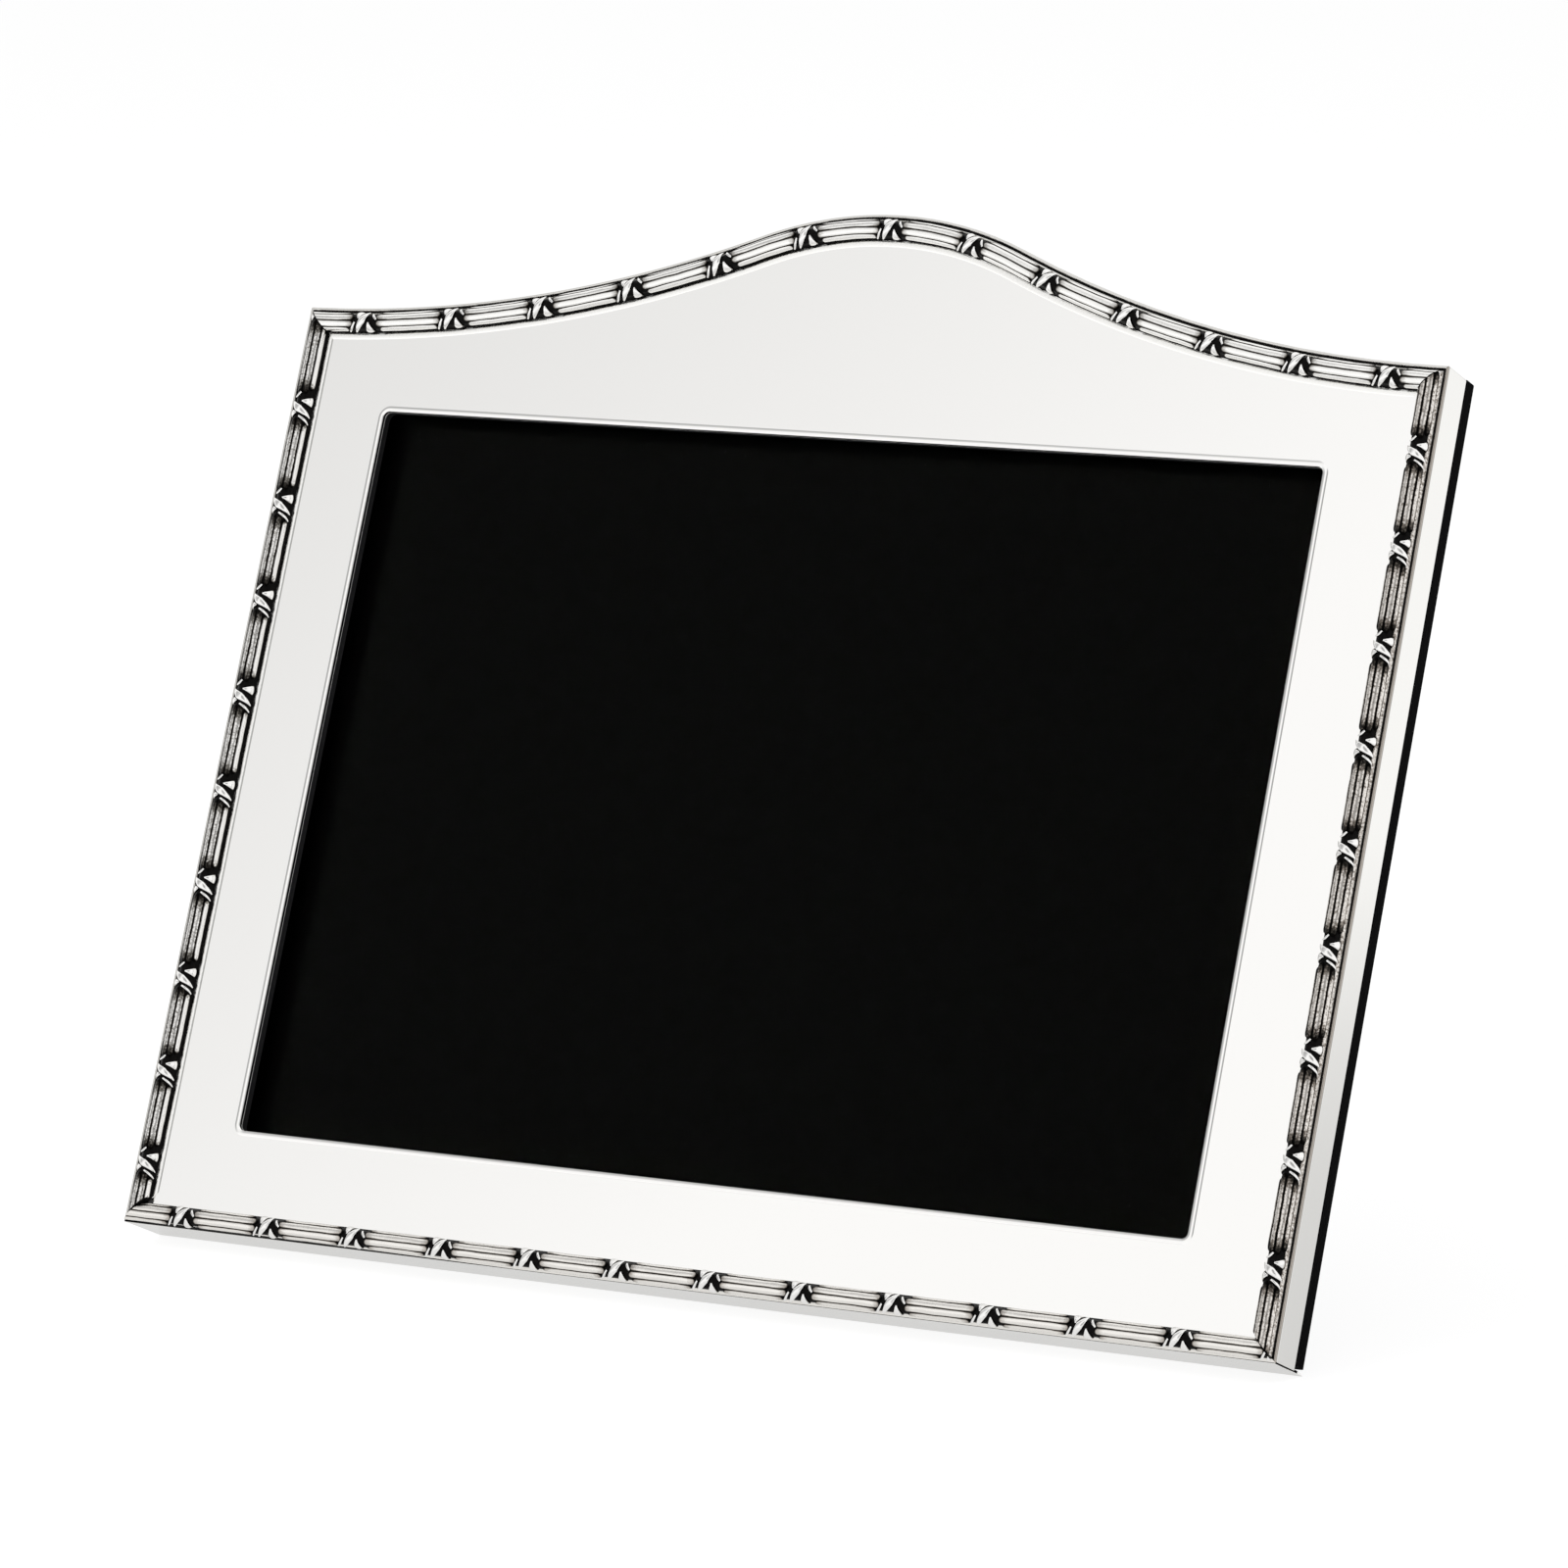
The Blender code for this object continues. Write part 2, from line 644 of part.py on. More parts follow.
def hinge_leaf(name, parent, pin_spot, outer):
    """A hinge leaf hanging below the pin, with the two outer knuckles or the one between them."""
    profile = leaf_profile(-1 if outer else 1)
    mesh = plate(name, [profile, circle(PIN_RADIUS + GAP)], HINGE_WIDTH)
    mesh.transform(Matrix.Translation((HINGE_WIDTH / 2, 0, 0)) @ Matrix.Rotation(math.pi / 2, 4, "Z"))
    leaf = place(name, shade_round(mesh), BRASS, parent, pin_spot)
    room = KNUCKLE_RADIUS + GAP
    if outer:
        notches = ((KNUCKLE_LENGTH + 2 * GAP, 0),)
    else:
        beside = (KNUCKLE_LENGTH + HINGE_WIDTH) / 2
        notches = ((HINGE_WIDTH, -beside), (HINGE_WIDTH, beside))
    for number, (width, middle) in enumerate(notches):
        tag = name + "_notch_" + str(number)
        spot = Vector(pin_spot) + Vector((middle, -2 * room, 0))
        make_cutter(tag, block(tag, (width, 4 * room, 2 * room)), leaf, spot)
    return leaf


def screw_leaf(prefix, leaf, holder, spread, facing):
    """Two screws through a leaf into what carries it; facing is 1 when their heads look back."""
    pin_spot = leaf.location
    head_seat = facing * (GAP + LEAF_THICKNESS - KNUCKLE_RADIUS)
    shank = 2 * GAP + LEAF_THICKNESS + HINGE_SCREW_BITE
    bore = HINGE_SCREW_SHANK_RADIUS + GAP
    for hand, side in (("left", -1), ("right", 1)):
        name = prefix + "_" + hand
        screw = turned_screw(
            name, HINGE_SCREW_HEAD_RADIUS, HINGE_SCREW_HEAD_HEIGHT, HINGE_SCREW_SHANK_RADIUS, shank
        )
        spot = pin_spot + Vector((side * spread, head_seat, -LEAF_SCREW_DROP))
        turn = (0, 0, 0) if facing > 0 else (0, 0, math.pi)
        place(name, screw, STEEL, leaf.parent, spot, turn)
        reach = shank + GAP
        start = Vector((0, -reach if facing > 0 else 0, 0))
        for piece in (leaf, holder):
            tag = name + "_hole_in_" + piece.name
            make_cutter(tag, rod(tag, bore, reach), piece, spot + start)


def strut_board():
    """The strut's board, hanging below the pin: its top is cut for the stop, its foot for the ground."""
    ends = slanted_ends()
    depths = (strut_front, strut_front + STRUT_THICKNESS)
    top = max(along_strut(ends[0], depth) for depth in depths)
    foot = min(along_strut(ends[1], depth) for depth in depths)
    wide, narrow = STRUT_FOOT_WIDTH / 2, STRUT_TOP_WIDTH / 2
    corners = [(-wide, foot), (wide, foot), (narrow, top), (-narrow, top)]
    mesh = plate("strut_leg", [corners], STRUT_THICKNESS)
    bm = bmesh.new()
    bm.from_mesh(mesh)
    bmesh.ops.translate(bm, vec=(0, strut_front, 0), verts=bm.verts)
    long_edges = []
    for edge in bm.edges:
        first, second = edge.verts[0].co, edge.verts[1].co
        if abs(first.y - second.y) < WELD and first.x * second.x > 0:
            long_edges.append(edge)
    round_edges(bm, long_edges, STRUT_EDGE_ROUNDING, EDGE_STEPS)
    for normal, distance in ends:
        plane = Vector((0, normal.y, normal.x))
        saw(bm, plane * distance, -plane)
    return finish_bmesh(bm, "strut_leg")


def build_strut(lean, door):
    """Easel strut on its hinge: laid out flat against the door, then swung open by its pivot."""
    pin_spot = (0, hinge_back, hinge_height)
    pin = rod("hinge_pin", PIN_RADIUS, HINGE_WIDTH + 2 * GAP, "X")
    place("hinge_pin", pin, STEEL, lean, pin_spot)
    pivot = new_empty("strut_pivot", lean, pin_spot, (OPEN_ANGLE, 0, 0))
    leg = place("strut_leg", strut_board(), BLACK_VELVET, pivot)
    door_leaf = hinge_leaf("hinge_door_leaf", lean, pin_spot, True)
    strut_leaf = hinge_leaf("hinge_strut_leaf", pivot, (0, 0, 0), False)
    screw_leaf("door_leaf_screw", door_leaf, door, HINGE_WIDTH / 2 - DOOR_SCREW_MARGIN, 1)
    screw_leaf("strut_leaf_screw", strut_leaf, leg, KNUCKLE_LENGTH / 2 - STRUT_SCREW_MARGIN, -1)


def build():
    """The whole frame, leaning back on its foot and its strut."""
    lean = new_empty("lean", None, ground_offset(), (-LEAN, 0, 0))
    build_front(lean)
    build_border(lean)
    board = build_board(lean)
    door = build_pack(lean)
    build_buttons(lean, board)
    build_strut(lean, door)


build()
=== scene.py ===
"""The look of a domed table photo frame: polished silver, a reed and ribbon border, a velvet back.

Pieces of the border are modelled flat on the face frame: X to the right, Y up the leaning front,
and Z out of it towards the viewer, with the front of the silver sheet at Z = 0 and the underside
of the frame at Y = 0.
"""
import json
import math

import bmesh
import bpy
from mathutils import Matrix, Vector, noise

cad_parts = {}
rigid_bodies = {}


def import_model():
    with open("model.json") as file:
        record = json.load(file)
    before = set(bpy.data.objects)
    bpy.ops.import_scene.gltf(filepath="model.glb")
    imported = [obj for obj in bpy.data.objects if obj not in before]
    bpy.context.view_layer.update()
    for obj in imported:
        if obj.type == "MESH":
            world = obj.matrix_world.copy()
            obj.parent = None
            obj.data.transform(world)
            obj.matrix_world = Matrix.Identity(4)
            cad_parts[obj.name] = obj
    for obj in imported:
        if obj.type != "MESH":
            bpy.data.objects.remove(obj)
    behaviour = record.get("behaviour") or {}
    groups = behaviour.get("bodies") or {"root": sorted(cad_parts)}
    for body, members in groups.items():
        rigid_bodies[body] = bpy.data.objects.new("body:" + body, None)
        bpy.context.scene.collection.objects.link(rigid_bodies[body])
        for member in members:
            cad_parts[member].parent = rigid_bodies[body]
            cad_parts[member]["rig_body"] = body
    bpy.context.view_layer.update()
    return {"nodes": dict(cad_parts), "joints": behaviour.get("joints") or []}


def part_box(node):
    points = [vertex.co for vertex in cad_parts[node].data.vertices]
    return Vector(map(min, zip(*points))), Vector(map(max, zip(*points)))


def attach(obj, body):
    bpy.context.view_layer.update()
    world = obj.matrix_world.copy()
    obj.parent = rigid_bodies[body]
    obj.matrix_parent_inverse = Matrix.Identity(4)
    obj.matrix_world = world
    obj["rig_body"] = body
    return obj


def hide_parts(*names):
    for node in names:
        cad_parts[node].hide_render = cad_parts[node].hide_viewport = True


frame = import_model()

MM = 0.001

# How close two places have to be to count as the same one
NEAR = 0.01 * MM
TOUCHING = 0.001 * MM
FLAT = math.radians(0.2)

# Outline of the front, as the part has it
SHOULDER = 175.5 * MM
DOME_RISE = 22.9 * MM
CREST_RADIUS = 70.0 * MM
CREST_SHIFT = 3.0 * MM
DOME_STEPS = 60

# Window of the front and the thin bead soldered round it; heights are above the sheet
WINDOW_WIDTH = 191.0 * MM
WINDOW_HEIGHT = 137.0 * MM
WINDOW_MIDDLE = 87.7 * MM
WINDOW_CORNER = 1.2 * MM
CORNER_STEPS = 10
BEAD_WIDTH = 1.05 * MM
BEAD_HEIGHT = 0.12 * MM
BEAD_STEPS = 8
BEAD_FOOT = -0.02 * MM
BEAD_WALL = -0.75 * MM

# Walls of the opening in the board behind the window, lined with paper
LIP_TOP = -0.75 * MM
LIP_BASE = -3.35 * MM

# Core of the border: a half-round rod on a low wall with a thin ledge; -1 is its outer side and 1
# its inner side
PITCH = 18.0 * MM
CORE_RADIUS = 1.47 * MM
CORE_MIDDLE = 3.0 * MM
CORE_FOOT = 0.7 * MM
CORE_SIDES = 48
CORE_WALL = {-1: 0.50 * MM, 1: 0.32 * MM}
CORE_LEDGE = {-1: 0.45 * MM, 1: 0.06 * MM}
CORE_LEDGE_HEIGHT = 0.03 * MM
BORDER_SEAT = 0.05 * MM
BORDER_LOWNESS = 0.9
BEND_CUTS = 8

# Four reeds side by side on the core, square-shouldered; the tip is (shrinking, reach in mm) steps
STRIP_EDGE = CORE_RADIUS * math.pi / 2
REEDS = 4
REED_SPACING = 2 * STRIP_EDGE / REEDS
REED_WIDTH = 1.04 * REED_SPACING
REED_HEIGHT = 0.36 * MM
REED_SIDES = 20
REED_CUTS = 14
REED_SQUARENESS = 0.55
REED_TIP = (0.92, 0.25), (0.82, 0.25), (0.55, 0.22)

# Where the middle reed ends before and after a crossing, and how the ends slant away from it
NEAR_END = 1.8 * MM, 0.6
FAR_END = 3.3 * MM, 0.75

# Two ribbons that cross, as strokes of (place along, place across, height of the top, width) in mm
CROSSING = (
    (
        (-2.75, -2.25, 0.46, 0.25),
        (-1.9, -0.9, 0.56, 0.95),
        (-1.3, 0.0, 0.62, 1.35),
        (-0.7, 0.8, 0.56, 0.95),
        (0.0, 1.55, 0.46, 0.25),
    ),
    (
        (-4.0, -2.25, 0.40, 0.30),
        (-3.3, -1.2, 0.46, 0.42),
        (-2.75, -0.3, 0.40, 0.30),
    ),
    (
        (-2.1, 0.3, 0.38, 0.25),
        (-2.12, 1.0, 0.44, 0.95),
        (-2.15, 1.8, 0.46, 1.75),
        (-2.2, 2.6, 0.46, 2.5),
    ),
    (
        (0.05, -0.35, 0.38, 0.25),
        (0.08, -1.0, 0.44, 0.85),
        (0.12, -1.8, 0.46, 1.65),
        (0.15, -2.6, 0.46, 2.4),
    ),
    (
        (0.8, 1.15, 0.36, 0.30),
        (1.05, 0.65, 0.40, 0.45),
        (1.7, 0.05, 0.36, 0.30),
    ),
)
RIBBON_FULLNESS = 0.5
RIBBON_SECTION_STEPS = 4
RIBBON_LENGTH_STEPS = 6

# How far the silver is rubbed bright, from 0 in a groove to 1 on a crest: the heights between which
# reeds and ribbons turn from dark to bright, the painted shade that darkens a reed towards its tip
# where it runs under a crossing, and plain pieces
REED_RUBBED = 0.18 * MM, 0.325 * MM
RIBBON_RUBBED = 0.12 * MM, 0.34 * MM
TIP_START = -0.5 * MM
TIP_LENGTH = 2.2 * MM
TIP_PAINTED_SHADE = 0.34
INNER_REED_SHINE = 1.3
WALL_RUBBED = 0.95
FOOT_RUBBED = 0.3
LEDGE_RUBBED = 0.9

# Hand-worked unevenness of the reeds and ribbons: its length along, its width across and its depth.
# The seed makes it the same on every run, as the noise starts from the clock without one.
WAVER = 2.6 * MM, 0.9 * MM, 0.06 * MM
WAVER_SEED = 7
noise.seed_set(WAVER_SEED)

# The bottom length of the border sits further out, and a little lower
BOTTOM_SHIFT = -0.9 * MM
BOTTOM_LOWNESS = 0.88
BOTTOM_EDGE = 0.05 * MM

# Plain edge outside the reeds and thin flange inside them: where each starts across the border, its
# height there, and the steps of its section in mm, each (width, rise)
FILLET = (
    0.10 * MM,
    0.22 * MM,
    ((0.05, 0.09), (0.09, 0.05), (0.16, 0.0), (0.09, -0.05), (0.05, -0.09)),
)
FLANGE = (
    4.92 * MM,
    0.14 * MM,
    ((0.10, 0.03), (0.55, 0.0), (0.13, -0.02), (0.13, -0.04), (0.12, -0.05), (0.08, -0.045)),
)
LEDGE_START = 0.04 * MM

# What is cut back from each mitre
MITRE_GAP = 0.12 * MM
EDGE_GAP = 0.03 * MM

# Lean of the front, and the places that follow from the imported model
turn_axis = next(
    joint["axis"] for joint in frame["joints"] if joint["name"].startswith("button_turn")
)
lean = math.atan2(-turn_axis[2], turn_axis[1])
half_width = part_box("side_band_right")[1].x
face_turn = Matrix.Rotation(math.pi / 2 - lean, 4, "X")
band = frame["nodes"]["side_band_bottom"].data
band_points = [face_turn.inverted() @ vert.co for vert in band.vertices]
face_origin = Vector((0, min(p.y for p in band_points), max(p.z for p in band_points)))
face_to_world = face_turn @ Matrix.Translation(face_origin)
to_face = face_to_world.inverted()


# Small tools for modelling


def pick(*objects):
    """Selects these objects alone; the first is the active one."""
    bpy.ops.object.select_all(action="DESELECT")
    for item in objects:
        item.select_set(True)
    bpy.context.view_layer.objects.active = objects[0]


def newest(name):
    """Names the piece that an operator has just made."""
    piece = bpy.context.active_object
    piece.name = name
    piece.data.name = name
    return piece


def copy_piece(source, name):
    """A piece of its own from another one's mesh."""
    piece = bpy.data.objects.new(name, source.data.copy())
    bpy.context.scene.collection.objects.link(piece)
    return piece


def select_parts(piece, kind, test):
    """In edit mode, selects the parts of a kind that pass a test of their middle and themselves."""
    bpy.ops.mesh.select_mode(type=kind)
    bpy.ops.mesh.select_all(action="DESELECT")
    bm = bmesh.from_edit_mesh(piece.data)
    if kind == "VERT":
        parts = [(vert.co, vert) for vert in bm.verts]
    elif kind == "EDGE":
        parts = [((edge.verts[0].co + edge.verts[1].co) / 2, edge) for edge in bm.edges]
    else:
        parts = [(face.calc_center_median(), face) for face in bm.faces]
    for middle, part in parts:
        if test(middle, part):
            part.select_set(True)
    bm.select_flush_mode()
    bmesh.update_edit_mesh(piece.data)


def merge_points(threshold):
    """In edit mode, merges the points of the whole mesh that lie this close together."""
    bpy.ops.mesh.select_all(action="SELECT")
    bpy.ops.mesh.remove_doubles(threshold=threshold)


def face_outwards():
    """In edit mode, turns every face of the mesh outwards."""
    bpy.ops.mesh.select_all(action="SELECT")
    bpy.ops.mesh.normals_make_consistent(inside=False)


def extrude(x=0.0, y=0.0, z=0.0):
    """In edit mode, extrudes what is selected and moves it."""
    bpy.ops.mesh.extrude_region_move(TRANSFORM_OT_translate={"value": (x, y, z)})


def apply_modifier(piece, kind, **settings):
    pick(piece)
    modifier = piece.modifiers.new(kind.lower(), kind)
    for key, value in settings.items():
        setattr(modifier, key, value)
    bpy.ops.object.modifier_apply(modifier=modifier.name)


def smooth(piece, degrees):
    pick(piece)
    bpy.ops.object.shade_smooth_by_angle(angle=math.radians(degrees))


def join(name, pieces):
    pick(*pieces)
    bpy.ops.object.join()
    return newest(name)


def give(piece, *materials):
    """Puts materials in a piece's first slots; what it has in further slots stays."""
    for number, material in enumerate(materials):
        if number < len(piece.data.materials):
            piece.data.materials[number] = material
        else:
            piece.data.materials.append(material)


def fit(piece, body, slot, *nodes):
    """Hands a finished piece over: its body and the nodes that it stands for. Slot, its finish, is
    not used.
    """
    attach(piece, body)
    if nodes:
        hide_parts(*nodes)


# Small tools for materials


def linear(hex_colour):
    """An sRGB hex colour as linear red, green, blue and alpha."""
    channels = []
    for start in (1, 3, 5):
        value = int(hex_colour[start:start + 2], 16) / 255
        channels.append(value / 12.92 if value <= 0.04045 else ((value + 0.055) / 1.055) ** 2.4)
    return (*channels, 1.0)


def add_node(tree, kind, settings=None, inputs=None):
    """A node with its settings, and its inputs set to values or linked to other nodes' outputs.

    The setting "stops" gives the (place, hex colour) pairs of a colour ramp.
    """
    node = tree.nodes.new(kind)
    settings = dict(settings or {})
    stops = settings.pop("stops", ())
    for key, value in settings.items():
        setattr(node, key, value)
    while stops and len(node.color_ramp.elements) < len(stops):
        node.color_ramp.elements.new(1.0)
    for number, (place, colour) in enumerate(stops):
        node.color_ramp.elements[number].position = place
        node.color_ramp.elements[number].color = linear(colour)
    for key, value in (inputs or {}).items():
        if isinstance(value, bpy.types.NodeSocket):
            tree.links.new(value, node.inputs[key])
        else:
            node.inputs[key].default_value = value
    return node


def new_material(name, inputs):
    """A material with its shader's own values set; returns it with its tree and shader."""
    material = bpy.data.materials.new(name)
    material.use_nodes = True
    tree = material.node_tree
    shader = tree.nodes["Principled BSDF"]
    for key, value in inputs.items():
        shader.inputs[key].default_value = value
    return material, tree, shader


def per_mm(millimetres):
    """Scale of a noise pattern whose features are this wide."""
    return 1 / (millimetres * MM)


# Finishes. A pixel of the photograph is about 0.2 mm wide, and a finer pattern would not show. Each
# pattern has its real size, or a comment says that it is drawn coarser.

# Sizes in mm: haze that a polishing cloth leaves, in patches about as wide as a thumb
HAZE_SIZE = 22
HAZE_SPREAD = 0.7, 1.3

# Strokes of the chasing tool and pits of the casting, really about 0.1 and 0.15 mm wide, are drawn
# coarser
STROKE_LENGTH = 2.4
STROKE_WIDTH = 0.22
PIT_SIZE = 0.4
PIT_DEPTH = 0.05 * MM

# How tarnish turns to bright silver: black, dark, flank and crest, for smooth reeds and pitted ones
TARNISH = "#0c0b0a", "#3a3733"
SMOOTH_STOPS = 0.10, 0.26, 0.42, 0.60
PITTED_STOPS = 0.18, 0.32, 0.43, 0.56
BRIGHT_AT = 0.6
TARNISHED_ROUGHNESS = 0.5
BRIGHT_ROUGHNESS = 0.2

# Where the two tones of a grained finish lie in its noise, and how its roughness spreads
TONES = 0.3, 0.7
GRAIN_SPREAD = 0.8, 1.2


def buffed_silver(name, colour, roughness):
    """Sheet silver, rolled and machine buffed: a near mirror with the faint haze of wiping."""
    material, tree, shader = new_material(name, {"Metallic": 1.0, "Base Color": linear(colour)})
    place = add_node(tree, "ShaderNodeTexCoord").outputs["Object"]
    haze = add_node(
        tree,
        "ShaderNodeTexNoise",
        inputs={"Vector": place, "Scale": per_mm(HAZE_SIZE), "Detail": 4.0, "Roughness": 0.6},
    )
    spread = add_node(
        tree,
        "ShaderNodeMapRange",
        inputs={
            "Value": haze.outputs["Fac"],
            "To Min": roughness * HAZE_SPREAD[0],
            "To Max": roughness * HAZE_SPREAD[1],
        },
    )
    tree.links.new(spread.outputs["Result"], shader.inputs["Roughness"])
    return material


def chased_silver(name, crest, flank, streaking, pitting, stops=SMOOTH_STOPS):
    """Cast silver, chased, blackened in an oxidising bath and buffed back on the crests.

    Its grooves stay black, its flanks turn grey and its crests are bright, broken up along the
    border by the strokes of the tool and all over by the pits of the casting.
    """
    material, tree, shader = new_material(name, {"Metallic": 1.0})
    height = add_node(tree, "ShaderNodeAttribute", {"attribute_name": "crest"}).outputs["Fac"]
    strip = add_node(tree, "ShaderNodeUVMap", {"uv_map": "strip"}).outputs["UV"]
    along = add_node(
        tree,
        "ShaderNodeMapping",
        inputs={"Vector": strip, "Scale": (per_mm(STROKE_LENGTH), per_mm(STROKE_WIDTH), 1)},
    )
    strokes = add_node(
        tree,
        "ShaderNodeTexNoise",
        inputs={
            "Vector": along.outputs["Vector"],
            "Scale": 1.0,
            "Detail": 5.0,
            "Roughness": 0.65,
        },
    )
    place = add_node(tree, "ShaderNodeTexCoord").outputs["Object"]
    pits = add_node(
        tree,
        "ShaderNodeTexNoise",
        inputs={"Vector": place, "Scale": per_mm(PIT_SIZE), "Detail": 3.0, "Roughness": 0.7},
    )
    worn = height
    for pattern, depth in ((strokes, streaking), (pits, pitting)):
        worn = add_node(
            tree,
            "ShaderNodeMath",
            {"operation": "MULTIPLY_ADD"},
            {0: pattern.outputs["Fac"], 1: -depth, 2: worn},
        ).outputs["Value"]
    colour = add_node(
        tree,
        "ShaderNodeValToRGB",
        {"stops": list(zip(stops, (*TARNISH, flank, crest)))},
        {"Fac": worn},
    )
    tree.links.new(colour.outputs["Color"], shader.inputs["Base Color"])
    dull = add_node(
        tree,
        "ShaderNodeMapRange",
        inputs={
            "Value": worn,
            "From Max": BRIGHT_AT,
            "To Min": TARNISHED_ROUGHNESS,
            "To Max": BRIGHT_ROUGHNESS,
        },
    )
    tree.links.new(dull.outputs["Result"], shader.inputs["Roughness"])
    bump = add_node(
        tree,
        "ShaderNodeBump",
        inputs={"Height": pits.outputs["Fac"], "Strength": 0.5, "Distance": PIT_DEPTH},
    )
    tree.links.new(bump.outputs["Normal"], shader.inputs["Normal"])
    return material


def grained(name, tones, roughness, grain, depth, inputs):
    """A finish whose grain shows in its two tones, its roughness and its relief.

    Grain is its width and depth its height, both in mm.
    """
    material, tree, shader = new_material(name, inputs)
    place = add_node(tree, "ShaderNodeTexCoord").outputs["Object"]
    pattern = add_node(
        tree,
        "ShaderNodeTexNoise",
        inputs={"Vector": place, "Scale": per_mm(grain), "Detail": 4.0, "Roughness": 0.6},
    ).outputs["Fac"]
    tint = add_node(
        tree, "ShaderNodeValToRGB", {"stops": list(zip(TONES, tones))}, {"Fac": pattern}
    )
    tree.links.new(tint.outputs["Color"], shader.inputs["Base Color"])
    spread = add_node(
        tree,
        "ShaderNodeMapRange",
        inputs={
            "Value": pattern,
            "To Min": roughness * GRAIN_SPREAD[0],
            "To Max": min(1.0, roughness * GRAIN_SPREAD[1]),
        },
    )
    tree.links.new(spread.outputs["Result"], shader.inputs["Roughness"])
    bump = add_node(
        tree,
        "ShaderNodeBump",
        inputs={"Height": pattern, "Strength": 1.0, "Distance": depth * MM},
    )
    tree.links.new(bump.outputs["Normal"], shader.inputs["Normal"])
    return material


# Rolled silver sheet: the brightest surface, a clear mirror that shows the white room
PANEL_SILVER = buffed_silver("buffed_sheet_silver", "#fbfaf8", roughness=0.05)

# Silver strip round the sides: a shade greyer and softer than the sheet, as it is buffed by hand
BAND_SILVER = buffed_silver("buffed_band_silver", "#edece9", roughness=0.10)

# Drawn bead round the window: a thin bright line with a soft grey side
BEAD_SILVER = buffed_silver("buffed_bead_silver", "#fbfaf8", roughness=0.08)

# Plain edge outside the reeds: a light line on top and left, and a warm grey one on the right
FILLET_SILVER = buffed_silver("buffed_fillet_silver", "#e6e4e0", roughness=0.14)
TONED_FILLET = buffed_silver("toned_fillet_silver", "#b3aca4", roughness=0.20)

# Chased cast silver of the reeds: white with sharp dark grooves on the top, softer on the bottom,
# and peppered with black pits on the two sides, with a warmer tone on the right
TOP_REEDS = chased_silver(
    "chased_silver_bright", crest="#fbfaf7", flank="#77726b", streaking=0.30, pitting=0.15
)
LOW_REEDS = chased_silver(
    "chased_silver_toned", crest="#f6f3ee", flank="#a8a199", streaking=0.32, pitting=0.16
)
LEFT_REEDS = chased_silver(
    "chased_silver_grey",
    crest="#f6f4f1",
    flank="#8a867f",
    streaking=0.20,
    pitting=0.72,
    stops=PITTED_STOPS,
)
RIGHT_REEDS = chased_silver(
    "chased_silver_warm",
    crest="#efeae4",
    flank="#8a8178",
    streaking=0.20,
    pitting=0.70,
    stops=PITTED_STOPS,
)

# Ribbons are rubbed the most, so that they flash white over the black gaps of the crossings
RIBBON_SILVER = chased_silver(
    "chased_ribbon_silver", crest="#fcfbf9", flank="#b5b0a8", streaking=0.16, pitting=0.08
)

# Thin flange inside the reeds: pale, with the strokes of the tool along it
FLANGE_SILVER = chased_silver(
    "chased_flange_silver", crest="#fbfaf7", flank="#b9b5ae", streaking=0.30, pitting=0.15
)

# Silver sulphide left in the depth of the border: near black, with hardly any gloss
BLACKENED = grained(
    "oxidised_silver",
    ("#070606", "#141312"),
    roughness=0.45,
    grain=0.4,
    depth=0.02,
    inputs={"Metallic": 0.6, "Specular IOR Level": 0.1},
)

# Cotton velvet pulled tight round the board's edge, its colour darker than on the back: painted
# shade. Its pile, really about 0.1 mm, is drawn 0.5 mm wide.
EDGE_PILE_PAINTED_SHADE = grained(
    "black_velvet_edge_painted_shade",
    ("#040405", "#09090a"),
    roughness=1.0,
    grain=0.5,
    depth=0.12,
    inputs={"Specular IOR Level": 0.0, "Sheen Weight": 0.05, "Sheen Roughness": 0.35},
)

# The same velvet on the flat back, door and strut, with more sheen and a lighter colour: painted
# light, so that door and strut stand out. Clumps of pile, really about 0.3 mm, are drawn 0.9 mm
# wide.
BACK_PILE_PAINTED_LIGHT = grained(
    "black_velvet_back_painted_light",
    ("#1c1c1f", "#2b2b2e"),
    roughness=1.0,
    grain=0.9,
    depth=0.15,
    inputs={"Specular IOR Level": 0.0, "Sheen Weight": 0.22, "Sheen Roughness": 0.4},
)

# Paper that lines the window's walls: dull dark grey. Its fibres are drawn 0.3 mm wide.
EDGE_PAPER = grained(
    "black_edge_paper",
    ("#202021", "#2a2a2b"),
    roughness=0.7,
    grain=0.3,
    depth=0.02,
    inputs={"Specular IOR Level": 0.1},
)

# Black print in the window: flat black behind the glass. Its fibres are drawn 0.3 mm wide.
INSERT = grained(
    "black_print_paper",
    ("#000000", "#010101"),
    roughness=0.8,
    grain=0.3,
    depth=0.005,
    inputs={"Specular IOR Level": 0.0},
)

# Pulp board behind the print: rough grey-brown with flecks of about 0.6 mm
CARD = grained(
    "grey_pulp_card",
    ("#726b61", "#8b8479"),
    roughness=0.95,
    grain=0.6,
    depth=0.04,
    inputs={"Specular IOR Level": 0.2},
)

# Brass stamped from rolled sheet: warm yellow with soft clouds from tumbling
BRASS = grained(
    "stamped_brass",
    ("#c9a862", "#e3c983"),
    roughness=0.24,
    grain=1.2,
    depth=0.01,
    inputs={"Metallic": 1.0},
)

# Zinc plated steel wire and screws: cool grey with a faint spangle
STEEL = grained(
    "plated_steel",
    ("#9d9da0", "#c9c9cb"),
    roughness=0.30,
    grain=0.9,
    depth=0.01,
    inputs={"Metallic": 1.0},
)

# Thin picture glass: its IOR is set low, so that the print shows as black as in the photograph
GLASS = new_material(
    "picture_glass",
    {"Base Color": linear("#fbfffd"), "Roughness": 0.0, "IOR": 1.05, "Transmission Weight": 1.0},
)[0]


# Reed and ribbon border


